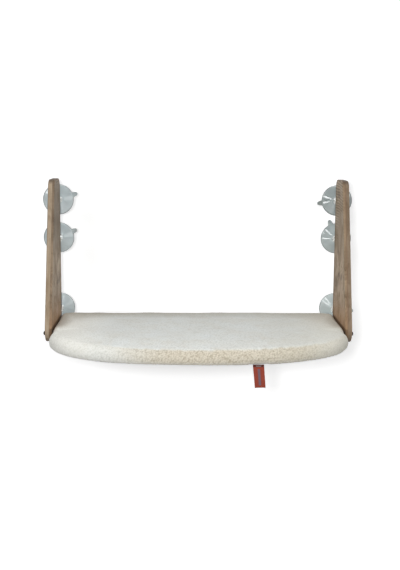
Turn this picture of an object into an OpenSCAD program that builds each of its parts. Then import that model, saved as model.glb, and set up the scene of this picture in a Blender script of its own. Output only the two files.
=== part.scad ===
// Window mounted perch: a padded D-shaped bed between two tapered side boards,
// held to the glass by six suction cups.
// Frame: the glass is the plane y = 0 and the room is on its -y side. z = 0 is the
// top of the bed where it meets the boards, and x = 0 is midway between the boards.

/* [Side boards] */
// Distance across the outer faces of the two side boards
span_w = 560; // [480:5:700]
// Thickness of a side board
board_t = 12; // [10:1:18]
// Height of the boards above the bed's top
board_rise = 265; // [255:5:340]
// Reach of the boards below the bed's top
board_drop = 28; // [26:1:45]
// Depth of a board at its top end
board_top_d = 80; // [60:5:120]
// Depth of a board level with the bed's top
board_bed_d = 160; // [145:5:220]
// Radius of the two top corners
board_top_r = 18; // [8:1:26]
// Radius of the lower front corner
board_toe_r = 22; // [6:1:24]
// Radius of the lower back corner
board_heel_r = 8; // [3:1:12]
// Bevel along a board's edges
board_bevel = 1.2; // [0.4:0.2:2]

/* [Bed] */
// Thickness of the bed from its underside to its top edge
bed_t = 30; // [26:1:44]
// Depth of the rounded front beyond the boards' depth at the bed
bed_bulge = 166; // [100:2:200]
// Squareness of the rounded front, where 2 is an ellipse
front_power = 2.31; // [2:0.01:2.8]
// Gap between the bed and each side board
bed_gap = 0.8; // [0.4:0.1:2]
// Radius of the two back corners of the bed
bed_back_r = 12; // [6:1:20]
// Width of the rounding along the bed's top edge
roll_w = 14; // [8:1:18]
// Width of the rounding along the bed's bottom edge
hem_w = 5; // [2:0.5:6]
// Height of the bed's crown over its edge
crown_h = 2.4; // [0.5:0.1:4]

/* [Bed layers] */
// Thickness of the fleece over the foam
cover_t = 4; // [3:0.5:6]
// Thickness of the fleece and its seam allowance at the bed's edge
cover_wall = 7; // [6:0.5:10]
// Thickness of the fabric panel under the bed
base_t = 2; // [1:0.5:3]
// Thickness of the plywood deck
deck_t = 9; // [6:1:12]
// Width of the rails under the fleece
rail_w = 20; // [16:1:30]
// Length of the rails along the boards
rail_l = 130; // [120:5:140]
// Bevel along the rails' upper edges, which the foam follows
rail_bevel = 4; // [2:0.5:5]

/* [Board bolts] */
// Distance of the front bolt from the board's front edge at the bed's top
bolt_front_in = 14; // [12:1:20]
// Distance between the two bolts of a board
bolt_pitch = 100; // [60:5:104]
// Radius of a bolt's shank
bolt_r = 2; // [1.5:0.5:2.5]
// Length of a bolt's shank
bolt_l = 29; // [26:1:34]
// Radius of a bolt's domed head
bolt_head_r = 4; // [3.5:0.25:5]
// Height of a bolt's domed head
bolt_head_h = 3.6; // [2.5:0.1:4.5]
// Radius of a bolt's washer
washer_r = 5; // [4.5:0.25:6]
// Thickness of a bolt's washer
washer_t = 0.8; // [0.5:0.1:1.5]
// Outer radius of the threaded inserts in the rails
rail_insert_r = 3; // [2.9:0.1:3.4]
// Length of the threaded inserts in the rails
rail_insert_l = 10; // [8:1:12]
// Outer radius of the spacers between rail and board
spacer_r = 4.5; // [3.5:0.25:5]

/* [Deck screws] */
// Screws that hold each rail to the deck
screw_count = 3; // [2:1:3]
// Distance between the screws
screw_pitch = 35; // [15:1:40]
// Radius of a deck screw's shank
screw_r = 1.75; // [1.25:0.25:2]
// Radius of a deck screw's head
screw_head_r = 3.5; // [3:0.25:4]
// Length of a deck screw
screw_l = 20; // [12:1:20]

/* [Suction cups] */
// Diameter of a cup pressed on the glass
cup_d = 60; // [50:1:64]
// Distance from the glass to the boards' back edge
cup_h = 23; // [19:1:32]
// Thickness of a cup at its rim
cup_rim_t = 1.2; // [0.8:0.1:2]
// Height of a cup's cone where it meets the neck
cone_h = 7; // [5:0.5:8]
// Width of the flat ring that seals on the glass
seal_w = 7; // [4:0.5:10]
// Depth of the hollow behind the cup
hollow_d = 2.6; // [1.5:0.1:3.5]
// Diameter of a cup's neck
neck_d = 14; // [13:0.5:16]
// Length of a pull tab beyond the rim
tab_l = 9.5; // [6:0.5:10]
// Width of a pull tab at its round end
tab_w = 8; // [6:0.5:10]
// Width of a pull tab at the rim
tab_root_w = 14; // [11:1:16]
// Thickness of a pull tab
tab_t = 1.6; // [1:0.1:2]
// Height of the upper cups above the bed's top
cup_upper_z = 222; // [215:1:235]
// Height of the middle cups above the bed's top
cup_middle_z = 147; // [95:1:150]
// Height of the lower cups above the bed's top
cup_lower_z = 7; // [-6:1:20]

/* [Cup studs] */
// Radius of a stud's shank
stud_r = 2.5; // [2:0.25:3]
// Radius of a stud's mushroom head
stud_head_r = 4.2; // [3.75:0.25:5]
// Thickness of a stud's head
stud_head_t = 3; // [2:0.25:3.5]
// Length of neck that grips behind a stud's head
throat_l = 7; // [4:0.5:8]
// Length of a stud inside its insert
stud_in_l = 11; // [8:1:12]
// Outer radius of the inserts in the boards' back edges
cup_insert_r = 3.5; // [3.25:0.25:4]
// Length of the inserts in the boards' back edges
cup_insert_l = 12; // [12:1:16]

/* [Zip] */
// Distance of each end of the zip from the bed's side
zip_end_in = 57.2; // [50:0.1:140]
// Distance of the zip from the bed's back edge
zip_in = 46; // [30:1:70]
// Width of each zip tape
tape_w = 13; // [11:1:18]
// Thickness of the zip tapes
tape_t = 0.6; // [0.4:0.1:1]
// Width of each row of teeth
teeth_w = 2.2; // [1.5:0.1:3]
// Height of the rows of teeth
teeth_h = 1.8; // [1.2:0.1:2.5]
// Length of the slider
slider_l = 11; // [8:1:14]
// Width of the slider
slider_w = 8.5; // [8:0.5:11]
// Length of the pull below its pin
pull_l = 24; // [16:1:34]
// Width of the pull
pull_w = 7.5; // [7:0.5:10]

/* [Label] */
// Width of the woven label
label_w = 19; // [12:1:30]
// Length of the woven label
label_l = 40; // [25:1:55]
// Thickness of the folded label
label_t = 0.8; // [0.5:0.1:1.2]
// Distance of the label's middle to the right of the bed's middle
label_x = 97; // [-150:1:150]

/* [Fits] */
// Radial clearance of the cups on their studs
turn_fit = 0.1; // [0.05:0.01:0.1]
// Clearance along the stud at each end of its head
end_fit = 0.3; // [0.2:0.05:0.5]
// Clearance of the fixed pieces in their seats
seat_fit = 0.05; // [0.02:0.01:0.08]
// Clearance of the bolts in the boards and spacers
bolt_fit = 0.25; // [0.15:0.05:0.4]
// Clearance of the soft pieces
soft_fit = 0.3; // [0.2:0.05:0.5]
// Clearance of the slider round the chain
slider_fit = 0.3; // [0.2:0.05:0.4]
// Radial clearance of the pull's pin
pin_fit = 0.08; // [0.05:0.01:0.1]

/* [Hidden] */
$fn = 96;
blend_fn = 32;
overrun = 1;

wood_colour = [0.60, 0.52, 0.44];
plywood_colour = [0.76, 0.64, 0.46];
fleece_colour = [0.86, 0.85, 0.80];
foam_colour = [0.93, 0.90, 0.78];
base_colour = [0.55, 0.53, 0.49];
vinyl_colour = [0.66, 0.72, 0.72];
dark_metal_colour = [0.16, 0.16, 0.17];
steel_colour = [0.72, 0.73, 0.74];
brass_colour = [0.78, 0.63, 0.33];
zip_colour = [0.80, 0.78, 0.72];
label_colour = [0.66, 0.28, 0.20];

// Places of the side boards
board_in_x = span_w / 2 - board_t;
board_mid_x = span_w / 2 - board_t / 2;
board_back_y = -cup_h;
board_lean = atan((board_bed_d - board_top_d) / board_rise);
function board_depth(z) = board_bed_d - z * tan(board_lean);

// Levels of the bed's layers, from the top down
foam_top_z = -cover_t;
base_top_z = base_t - bed_t;
deck_top_z = base_top_z + deck_t;
foam_h = foam_top_z - deck_top_z;
rail_z = deck_top_z + foam_h / 2;
rail_h = foam_h - soft_fit;

// Plan of the bed
bed_half_w = board_in_x - bed_gap;
bed_back_y = board_back_y - bed_gap;
bed_side_y = board_back_y - board_bed_d;
bed_front_y = bed_side_y - bed_bulge;
bed_mid_y = (bed_back_y + bed_front_y) / 2;
bed_half_d = (bed_back_y - bed_front_y) / 2;
corner_steps = 4;
front_steps = 26;
core_in = cover_wall + soft_fit;
foam_top_in = cover_wall + rail_bevel;
bevel_z = foam_top_z - rail_bevel;
// Level where the bed is widest, as a share of its thickness
widest_share = 0.3;
widest_z = -bed_t * (1 - widest_share);

// Places of the bolts, the rails and the zip
bolt_front_y = board_back_y - board_bed_d + bolt_front_in;
bolt_ys = [bolt_front_y, bolt_front_y + bolt_pitch];
rail_out_x = bed_half_w - core_in;
rail_mid_y = (bolt_ys[0] + bolt_ys[1]) / 2;
zip_y = bed_back_y - zip_in;
zip_l = 2 * (bed_half_w - zip_end_in);
slit_w = 1.4;
panel_slot_w = slider_w + 2 * slider_fit + 2 * overrun;
chain_z = -bed_t - tape_t - teeth_h;
slider_plate_t = 0.8;
slider_web_t = slit_w - 2 * slider_fit;
stop_l = 3;
pin_r = 0.9;
pin_wall = 1.1;
bridge_w = 3;
pull_arm_w = 1;
pull_t = 1.2;
pin_z = chain_z - slider_fit - slider_plate_t - pin_r - pin_fit;
slider_x = zip_l / 2 - slider_l / 2 - slider_fit;

// Places of the cups, with the direction of each tab in degrees anticlockwise from +x
LEFT = -1;
RIGHT = 1;
cup_levels = [cup_upper_z, cup_middle_z, cup_lower_z];
left_turns = [18, 24, 265];
right_turns = [189, 112, -9];
stud_tip = cup_h - throat_l - end_fit - stud_head_t;

// Points of the bed's plan, drawn in by a given amount, clockwise from above
function drawn_in(p, inset) = [
  p[0] * (1 - inset / bed_half_w),
  bed_mid_y + (p[1] - bed_mid_y) * (1 - inset / bed_half_d)
];
function power(v, e) = sign(v) * pow(abs(v), e);
bed_plan = concat(
  [for (i = [0 : corner_steps]) let (a = 90 - 90 * i / corner_steps)
    [bed_half_w - bed_back_r * (1 - cos(a)), bed_back_y - bed_back_r * (1 - sin(a))]],
  [for (i = [0 : 2 * front_steps]) let (a = 90 * i / front_steps)
    [bed_half_w * power(cos(a), 2 / front_power),
     bed_side_y - bed_bulge * power(sin(a), 2 / front_power)]],
  [for (i = [0 : corner_steps]) let (a = 90 * i / corner_steps)
    [-bed_half_w + bed_back_r * (1 - cos(a)), bed_back_y - bed_back_r * (1 - sin(a))]]
);
function plan_in(inset) = [for (p = bed_plan) drawn_in(p, inset)];
function ring(inset, z) = [for (p = plan_in(inset)) [p[0], p[1], z]];
// Depth of the bed's front edge at a distance from its middle
function front_y(x) = bed_side_y
  - bed_bulge * pow(1 - pow(abs(x) / bed_half_w, front_power), 1 / front_power);

// A closed skin through rings of equal count
module loft(rings) {
  n = len(rings[0]);
  last = len(rings) - 1;
  walls = [for (j = [0 : last - 1], i = [0 : n - 1]) let (k = (i + 1) % n)
    each [[j * n + i, j * n + k, (j + 1) * n + k], [j * n + i, (j + 1) * n + k, (j + 1) * n + i]]];
  lower_cap = [for (i = [n - 1 : -1 : 0]) i];
  upper_cap = [for (i = [0 : n - 1]) last * n + i];
  polyhedron([for (r = rings) each r], concat(walls, [lower_cap, upper_cap]), 4);
}

// A flat piece with the bed's plan
module plan_slab(inset, z, t) {
  translate([0, 0, z]) linear_extrude(t) polygon(plan_in(inset));
}

// A cylinder along x whose end nearer the middle is at x, on one side of the perch
module x_rod(side, x, y, z, r, l) {
  translate([side * x, y, z]) rotate([0, side * 90, 0]) cylinder(r = r, h = l);
}

// A cylinder along -y from a distance h off the glass
module room_rod(x, z, h, r, l) {
  translate([x, -h, z]) rotate([90, 0, 0]) cylinder(r = r, h = l);
}

// Side boards
function front_corner(z, r) = [board_back_y - board_depth(z) + r / cos(board_lean), z];
board_corners = [
  [board_back_y - board_top_r, board_rise - board_top_r, board_top_r],
  concat(front_corner(board_rise - board_top_r, board_top_r), board_top_r),
  concat(front_corner(board_toe_r - board_drop, board_toe_r), board_toe_r),
  [board_back_y - board_heel_r, board_heel_r - board_drop, board_heel_r]
];

module board_blank(side) {
  hull() for (c = board_corners) {
    x_rod(side, board_in_x, c[0], c[1], c[2] - board_bevel, board_t, $fn = blend_fn);
    x_rod(side, board_in_x + board_bevel, c[0], c[1], c[2], board_t - 2 * board_bevel, $fn = blend_fn);
  }
}

module side_board(side) {
  color(wood_colour) difference() {
    board_blank(side);
    for (z = cup_levels)
      room_rod(side * board_mid_x, z, cup_h - overrun, cup_insert_r + seat_fit,
               cup_insert_l + overrun + 2 * seat_fit);
    for (y = bolt_ys)
      x_rod(side, board_in_x - overrun, y, rail_z, bolt_r + bolt_fit, board_t + 2 * overrun);
  }
}

module side_board_left() { side_board(LEFT); }
module side_board_right() { side_board(RIGHT); }

// Deck and rails
function screw_y(i) = rail_mid_y + (i - (screw_count - 1) / 2) * screw_pitch;
screw_x = rail_out_x - rail_w / 2;

module screw_shape(grow) {
  head_h = screw_head_r - screw_r;
  rotate_extrude() polygon([
    [0, 0], [screw_head_r + grow, 0], [screw_head_r + grow, grow],
    [screw_r + grow, head_h + grow], [screw_r + grow, screw_l + grow], [0, screw_l + grow]
  ]);
}

module at_screws(side) {
  for (i = [0 : screw_count - 1]) translate([side * screw_x, screw_y(i), base_top_z]) children();
}

module deck_board() {
  color(plywood_colour) difference() {
    plan_slab(core_in, base_top_z, deck_t);
    for (side = [LEFT, RIGHT]) at_screws(side) {
      screw_shape(seat_fit);
      translate([0, 0, -overrun]) cylinder(r = screw_head_r + seat_fit, h = overrun);
    }
  }
}

module side_rail(side) {
  color(plywood_colour) difference() {
    translate([side * screw_x, rail_mid_y + rail_l / 2, deck_top_z]) rotate([90, 0, 0])
      linear_extrude(rail_l) polygon([
        [-rail_w / 2, 0], [rail_w / 2, 0], [rail_w / 2, rail_h - rail_bevel],
        [rail_w / 2 - rail_bevel, rail_h], [rail_bevel - rail_w / 2, rail_h],
        [-rail_w / 2, rail_h - rail_bevel]
      ]);
    at_screws(side) screw_shape(seat_fit);
    for (y = bolt_ys)
      x_rod(side, rail_out_x - rail_insert_l - seat_fit, y, rail_z, rail_insert_r + seat_fit,
            rail_insert_l + seat_fit + overrun);
  }
}

module side_rail_left() { side_rail(LEFT); }
module side_rail_right() { side_rail(RIGHT); }

module deck_screws() {
  color(steel_colour) for (side = [LEFT, RIGHT]) at_screws(side) screw_shape(0);
}

// Soft layers
module foam_pad() {
  color(foam_colour) difference() {
    loft([
      ring(core_in, deck_top_z),
      ring(core_in, bevel_z - soft_fit),
      ring(foam_top_in + soft_fit, foam_top_z - soft_fit)
    ]);
    for (side = [LEFT, RIGHT])
      translate([side * (screw_x + overrun) - rail_w / 2 - overrun - soft_fit,
                 rail_mid_y - rail_l / 2 - soft_fit, deck_top_z - overrun])
        cube([rail_w + 2 * overrun + 2 * soft_fit, rail_l + 2 * soft_fit, foam_h + 2 * overrun]);
  }
}

roll_steps = 6;
hem_steps = 3;
crown_shares = [0.2, 0.5, 0.8];
cover_rings = concat(
  [ring(foam_top_in, foam_top_z), ring(cover_wall, bevel_z), ring(cover_wall, -bed_t)],
  [for (i = [0 : hem_steps]) let (a = 90 * i / hem_steps)
    ring(hem_w * (1 - sin(a)), -bed_t + (widest_z + bed_t) * (1 - cos(a)))],
  [for (i = [1 : roll_steps]) let (a = 90 * i / roll_steps)
    ring(roll_w * (1 - cos(a)), widest_z * (1 - sin(a)))],
  [for (s = crown_shares) ring(roll_w + (bed_half_d - roll_w) * s, crown_h * sin(90 * s))]
);

module fleece_cover() {
  color(fleece_colour) difference() {
    loft(cover_rings);
    for (side = [LEFT, RIGHT], y = bolt_ys)
      x_rod(side, rail_out_x - overrun, y, rail_z, spacer_r + soft_fit, cover_wall + 2 * overrun + bed_gap);
  }
}

module base_panel() {
  color(base_colour) difference() {
    plan_slab(core_in, -bed_t, base_t);
    translate([-zip_l / 2, zip_y - panel_slot_w / 2, -bed_t - overrun])
      cube([zip_l, panel_slot_w, base_t + 2 * overrun]);
  }
}

// Zip across the base panel
module zip_row(x_l, w, z, h) {
  for (side = [-1, 1])
    translate([-x_l / 2, zip_y + side * (slit_w + w) / 2 - w / 2, z]) cube([x_l, w, h]);
}

module zip_tapes() {
  color(zip_colour) zip_row(zip_l + 2 * stop_l, tape_w, -bed_t - tape_t, tape_t);
}

module zip_teeth() {
  color(zip_colour) zip_row(zip_l, teeth_w, chain_z, teeth_h);
}

module zip_stops() {
  w = slit_w + 2 * teeth_w;
  color(steel_colour) for (side = [-1, 1])
    translate([side * (zip_l + stop_l) / 2 - stop_l / 2, zip_y - w / 2, chain_z]) cube([stop_l, w, teeth_h]);
}

module zip_slider() {
  low_z = chain_z - slider_fit - slider_plate_t;
  high_z = -bed_t + slider_fit;
  bridge_h = 2 * (pin_r + pin_fit) + pin_wall;
  bridge_l = 2 * (pin_r + pin_fit + pin_wall);
  color(steel_colour) translate([slider_x, zip_y, 0]) difference() {
    union() {
      translate([-slider_l / 2, -slider_w / 2, low_z]) cube([slider_l, slider_w, slider_plate_t]);
      translate([-slider_l / 2, -slider_w / 2, high_z]) cube([slider_l, slider_w, slider_plate_t]);
      translate([-slider_l / 2, -slider_web_t / 2, low_z])
        cube([slider_l, slider_web_t, high_z - low_z + slider_plate_t / 2]);
      translate([-bridge_l / 2, -bridge_w / 2, low_z - bridge_h])
        cube([bridge_l, bridge_w, bridge_h + slider_plate_t / 2]);
    }
    translate([0, bridge_w / 2 + overrun, pin_z]) rotate([90, 0, 0])
      cylinder(r = pin_r + pin_fit, h = bridge_w + 2 * overrun);
  }
}

module zip_pull() {
  arm_y = bridge_w / 2 + slider_fit;
  arm_l = pin_r + pin_wall + 2 * slider_fit + pin_r;
  color(steel_colour) translate([slider_x, zip_y, pin_z]) {
    rotate([90, 0, 0]) cylinder(r = pin_r, h = 2 * (arm_y + pull_arm_w / 2), center = true);
    for (side = [-1, 1]) {
      translate([0, side * (arm_y + pull_arm_w / 2), 0]) rotate([90, 0, 0])
        cylinder(r = pin_r, h = pull_arm_w, center = true);
      translate([-pull_t / 2, side * (arm_y + pull_arm_w / 2) - pull_arm_w / 2, -arm_l - pull_t])
        cube([pull_t, pull_arm_w, arm_l + pull_t]);
    }
    translate([-pull_t / 2, -pull_w / 2, -pull_l]) cube([pull_t, pull_w, pull_l - arm_l]);
  }
}

// Woven label at the front hem
label_y = front_y(label_x) + cover_wall;
label_pivot_z = -bed_t - soft_fit - label_t / 2;

module woven_label() {
  color(label_colour) translate([label_x, label_y, label_pivot_z]) {
    rotate([0, 90, 0]) cylinder(r = label_t / 2, h = label_w, center = true);
    translate([-label_w / 2, -label_t / 2, -label_l]) cube([label_w, label_t, label_l]);
  }
}

// Bolts that hold the boards to the rails
washer_x = span_w / 2;
shank_x = washer_x + washer_t - bolt_l;

module rail_inserts() {
  color(brass_colour) for (side = [LEFT, RIGHT], y = bolt_ys) difference() {
    x_rod(side, rail_out_x - rail_insert_l, y, rail_z, rail_insert_r, rail_insert_l);
    x_rod(side, rail_out_x - rail_insert_l - overrun, y, rail_z, bolt_r + seat_fit,
          rail_insert_l + 2 * overrun);
  }
}

module bolt_spacers() {
  color(zip_colour) for (side = [LEFT, RIGHT], y = bolt_ys) difference() {
    x_rod(side, rail_out_x, y, rail_z, spacer_r, board_in_x - rail_out_x);
    x_rod(side, rail_out_x - overrun, y, rail_z, bolt_r + bolt_fit, board_in_x - rail_out_x + 2 * overrun);
  }
}

module board_bolt() {
  socket_r = bolt_head_r * 0.35;
  dome_steps = 6;
  color(dark_metal_colour) difference() {
    rotate_extrude() polygon(concat(
      [[0, -bolt_l], [bolt_r, -bolt_l], [bolt_r, 0], [bolt_head_r, 0]],
      [for (i = [0 : dome_steps]) let (a = 90 * i / dome_steps)
        [bolt_head_r * cos(a), bolt_head_h * (1 + 2 * sin(a)) / 3]]
    ));
    translate([0, 0, bolt_head_h / 2]) cylinder(r = socket_r, h = bolt_head_h, $fn = 6);
  }
}

module board_bolts() {
  for (side = [LEFT, RIGHT], y = bolt_ys)
    translate([side * (washer_x + washer_t), y, rail_z]) rotate([0, side * 90, 0]) board_bolt();
}

module bolt_washers() {
  color(dark_metal_colour) for (side = [LEFT, RIGHT], y = bolt_ys) difference() {
    x_rod(side, washer_x, y, rail_z, washer_r, washer_t);
    x_rod(side, washer_x - overrun, y, rail_z, bolt_r + bolt_fit, washer_t + 2 * overrun);
  }
}

// Cup studs and the inserts that hold them
module cup_inserts() {
  color(brass_colour) for (side = [LEFT, RIGHT], z = cup_levels) difference() {
    room_rod(side * board_mid_x, z, cup_h, cup_insert_r, cup_insert_l);
    room_rod(side * board_mid_x, z, cup_h - overrun, stud_r + seat_fit, cup_insert_l + 2 * overrun);
  }
}

module cup_studs() {
  color(steel_colour) for (side = [LEFT, RIGHT], z = cup_levels) {
    room_rod(side * board_mid_x, z, stud_tip, stud_head_r, stud_head_t);
    room_rod(side * board_mid_x, z, stud_tip, stud_r, stud_head_t + end_fit + throat_l + stud_in_l);
  }
}

// Suction cups
module cup_profile() {
  r = cup_d / 2;
  neck_r = neck_d / 2;
  flare = neck_r * 0.4;
  bell_steps = 6;
  polygon(concat(
    [[0, hollow_d], [(r - seal_w) / 2, hollow_d * 0.7], [r - seal_w, 0], [r, 0], [r, cup_rim_t]],
    [for (i = [0 : bell_steps]) let (s = i / bell_steps)
      [r - cup_rim_t - s * (r - cup_rim_t - neck_r - flare), cup_rim_t * 1.5 + (cone_h - cup_rim_t * 1.5) * s]],
    [[neck_r, cone_h + flare], [neck_r, cup_h - end_fit], [0, cup_h - end_fit]]
  ));
}

module cup_tab() {
  r = cup_d / 2;
  tip = r + tab_l - tab_w / 2;
  root = r - seal_w;
  translate([0, 0, cup_rim_t / 2]) {
    translate([tip, 0, 0]) cylinder(r = tab_w / 2, h = tab_t);
    linear_extrude(tab_t)
      polygon([[root, -tab_root_w / 2], [tip, -tab_w / 2], [tip, tab_w / 2], [root, tab_root_w / 2]]);
  }
}

module suction_cup(side, z, turn) {
  pocket_h = stud_tip - end_fit;
  color(vinyl_colour) translate([side * board_mid_x, 0, z]) rotate([90, 0, 0]) rotate([0, 0, turn])
    difference() {
      union() {
        rotate_extrude() cup_profile();
        cup_tab();
      }
      translate([0, 0, pocket_h]) cylinder(r = stud_head_r + turn_fit, h = stud_head_t + 2 * end_fit);
      translate([0, 0, pocket_h]) cylinder(r = stud_r + turn_fit, h = cup_h);
    }
}

module cup_upper_left() { suction_cup(LEFT, cup_upper_z, left_turns[0]); }
module cup_middle_left() { suction_cup(LEFT, cup_middle_z, left_turns[1]); }
module cup_lower_left() { suction_cup(LEFT, cup_lower_z, left_turns[2]); }
module cup_upper_right() { suction_cup(RIGHT, cup_upper_z, right_turns[0]); }
module cup_middle_right() { suction_cup(RIGHT, cup_middle_z, right_turns[1]); }
module cup_lower_right() { suction_cup(RIGHT, cup_lower_z, right_turns[2]); }

side_board_left();
side_board_right();
deck_board();
side_rail_left();
side_rail_right();
deck_screws();
foam_pad();
fleece_cover();
base_panel();
zip_tapes();
zip_teeth();
zip_stops();
zip_slider();
zip_pull();
woven_label();
rail_inserts();
bolt_spacers();
board_bolts();
bolt_washers();
cup_inserts();
cup_studs();
cup_upper_left();
cup_middle_left();
cup_lower_left();
cup_upper_right();
cup_middle_right();
cup_lower_right();
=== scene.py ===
"""Looks of the window mounted perch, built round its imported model. Lengths are in metres."""
import itertools
import math

import bpy
import numpy as np
from mathutils import Matrix, Vector


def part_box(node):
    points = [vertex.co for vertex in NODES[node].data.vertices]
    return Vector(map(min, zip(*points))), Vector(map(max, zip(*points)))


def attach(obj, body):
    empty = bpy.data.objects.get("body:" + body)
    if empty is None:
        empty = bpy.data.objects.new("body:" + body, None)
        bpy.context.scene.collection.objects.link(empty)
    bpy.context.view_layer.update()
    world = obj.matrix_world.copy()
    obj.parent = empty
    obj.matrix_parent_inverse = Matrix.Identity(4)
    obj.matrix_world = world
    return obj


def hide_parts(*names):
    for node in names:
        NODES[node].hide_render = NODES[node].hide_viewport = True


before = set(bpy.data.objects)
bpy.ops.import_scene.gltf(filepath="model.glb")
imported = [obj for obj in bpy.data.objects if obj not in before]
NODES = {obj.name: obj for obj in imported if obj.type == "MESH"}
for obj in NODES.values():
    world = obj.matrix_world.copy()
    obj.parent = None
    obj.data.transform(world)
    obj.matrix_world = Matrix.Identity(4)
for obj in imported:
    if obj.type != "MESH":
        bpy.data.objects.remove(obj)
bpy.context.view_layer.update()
scene = bpy.context.scene


# --- sizes of the part

LEFT, RIGHT = -1, 1
SIDE_NAMES = {LEFT: "left", RIGHT: "right"}
cover_low, cover_high = (np.array(corner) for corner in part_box("fleece_cover"))
BED_HALF_W = cover_high[0]
BED_BACK_Y = cover_high[1]
BED_FRONT_Y = cover_low[1]
BED_T = -cover_low[2]
BED_BULGE = 0.166
BED_SIDE_Y = BED_FRONT_Y + BED_BULGE
BED_BACK_R = 0.012
FRONT_POWER = 2.31
BED_MID_Y = (BED_BACK_Y + BED_FRONT_Y) / 2
BED_HALF_D = (BED_BACK_Y - BED_FRONT_Y) / 2
ROLL_W = 0.014
HEM_W = 0.005
CROWN_H = 0.0024
WIDEST_Z = -0.7 * BED_T
COVER_WALL = 0.007
CAVITY_BEVEL = 0.004
COVER_T = 0.004

BOARD_T = 0.012
BOARD_BACK_Y = -0.023
BOARD_IN_X = 0.268
BOARD_MID_X = BOARD_IN_X + BOARD_T / 2

CUP_R = 0.030
HUB_R = 0.0086
CUP_Z = {"upper": 0.222, "middle": 0.147, "lower": 0.007}
TAB_TURNS = {LEFT: {"upper": 18, "middle": 24, "lower": 265},
             RIGHT: {"upper": 189, "middle": 112, "lower": -9}}


# --- small helpers

def linear(red, green, blue):
    """A colour given as 0 to 255 steps of sRGB, as linear RGBA."""
    steps = np.array([red, green, blue]) / 255
    curve = np.where(steps <= 0.04045, steps / 12.92, ((steps + 0.055) / 1.055) ** 2.4)
    return (*curve.tolist(), 1.0)


def smooth_step(x, low, high):
    """0 below low, 1 above high, and a smooth S between them."""
    t = np.clip((x - low) / (high - low), 0, 1)
    return t * t * (3 - 2 * t)


def new_mesh(name, points, faces, smooth=True):
    """A mesh object from an array of points and a list or array of faces."""
    mesh = bpy.data.meshes.new(name)
    mesh.from_pydata(np.asarray(points, float).reshape(-1, 3), [], faces)
    mesh.polygons.foreach_set("use_smooth", np.full(len(mesh.polygons), smooth))
    mesh.update()
    piece = bpy.data.objects.new(name, mesh)
    scene.collection.objects.link(piece)
    return piece


def spread(*places):
    """Points from their x, y and perhaps z, each a number or an array, stretched over one another."""
    return np.stack(np.broadcast_arrays(*places), axis=-1)


def move_points(piece, points):
    """Puts a piece's points in new places."""
    piece.data.vertices.foreach_set("co", points.astype(np.float32).ravel())
    piece.data.update()


def grid_faces(rows, columns, start=0, close_columns=False):
    """Quads of a grid of points kept row by row, with its last column joined to the first where asked."""
    row = np.arange(rows - 1)[:, None] * columns
    column = np.arange(columns if close_columns else columns - 1)[None, :]
    following = (column + 1) % columns
    quads = spread(row + column, row + following, row + columns + following, row + columns + column)
    return quads.reshape(-1, 4) + start


def add_values(piece, name, values):
    """Keeps one number for each point of a piece, for its material to read."""
    attribute = piece.data.attributes.new(name, "FLOAT", "POINT")
    attribute.data.foreach_set("value", np.asarray(values, np.float32))


def finish_piece(piece, body, slot, material, *nodes):
    """Gives a new piece its material and its body, and hides the nodes that it stands for. The slot is not
    used.
    """
    piece.data.materials.clear()
    piece.data.materials.append(material)
    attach(piece, body)
    if nodes:
        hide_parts(*nodes)
    return piece


# --- scattered noise in numpy

def scatter(cells, salt):
    """A number from 0 to 1 for each whole-numbered cell, by mixing its three places with a salt, a whole
    number that gives each use its own pattern."""
    with np.errstate(over="ignore"):
        c = cells.astype(np.int64).astype(np.uint64)
        h = c[..., 0] * np.uint64(73856093) ^ c[..., 1] * np.uint64(19349663)
        h ^= c[..., 2] * np.uint64(83492791) ^ np.uint64(salt * 2654435761)
        h ^= h >> np.uint64(13)
        h *= np.uint64(0x9E3779B97F4A7C15)
        h ^= h >> np.uint64(29)
        h *= np.uint64(0xBF58476D1CE4E5B9)
        h ^= h >> np.uint64(32)
    return (h & np.uint64(0xFFFFFF)).astype(float) / 0xFFFFFF


def tuft_distance(points, cell, salt):
    """Distance from each point to the nearest tuft centre, in cells. Each cube of side cell holds
    one centre at a scattered place, and the 27 cubes round a point are looked at."""
    place = points / cell
    corner = np.floor(place)
    nearest = np.full(len(points), np.inf)
    for step in itertools.product((-1, 0, 1), repeat=3):
        cube = corner + step
        centre = cube + np.stack([scatter(cube, salt + k) for k in range(3)], axis=-1)
        nearest = np.minimum(nearest, ((place - centre) ** 2).sum(axis=1))
    return np.sqrt(nearest)


def soft_waves(points, length, salt):
    """Smooth hills and hollows from -1 to 1: values scattered on a lattice whose step is the given length,
    blended between a point's eight nearest corners by a smooth S."""
    place = points / length
    corner = np.floor(place)
    part = place - corner
    part = part * part * (3 - 2 * part)
    total = np.zeros(len(points))
    for step in itertools.product((0, 1), repeat=3):
        share = np.prod(np.where(np.array(step) == 1, part, 1 - part), axis=1)
        total += share * scatter(corner + step, salt)
    return 2 * total - 1


def laid_waves(points, *waves):
    """Soft waves laid over one another, each with its height, length and salt."""
    return sum(height * soft_waves(points, length, salt) for height, length, salt in waves)


# --- values that run through a shader

class Value:
    """A number, colour or direction in a shader. Arithmetic on it adds Math nodes."""

    def __init__(self, socket):
        self.socket, self.tree = socket, socket.id_data

    def math(self, operation, *others, clamp=False):
        """The result of a Math node on this value and others."""
        return result(self.tree, "ShaderNodeMath", dict(enumerate((self, *others))), operation=operation,
                      use_clamp=clamp)

    def __add__(self, other):
        return self.math("ADD", other)

    def __sub__(self, other):
        return self.math("SUBTRACT", other)

    def __rsub__(self, number):
        return self.math("MULTIPLY_ADD", -1.0, number)

    def __mul__(self, other):
        return self.math("MULTIPLY", other)

    def __truediv__(self, other):
        return self.math("DIVIDE", other)

    def __abs__(self):
        return self.math("ABSOLUTE")


def feed(value, socket):
    """Links a value to a socket, or sets the socket to a plain number, colour or direction."""
    if isinstance(value, Value):
        socket.id_data.links.new(value.socket, socket)
    else:
        socket.default_value = value


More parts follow.
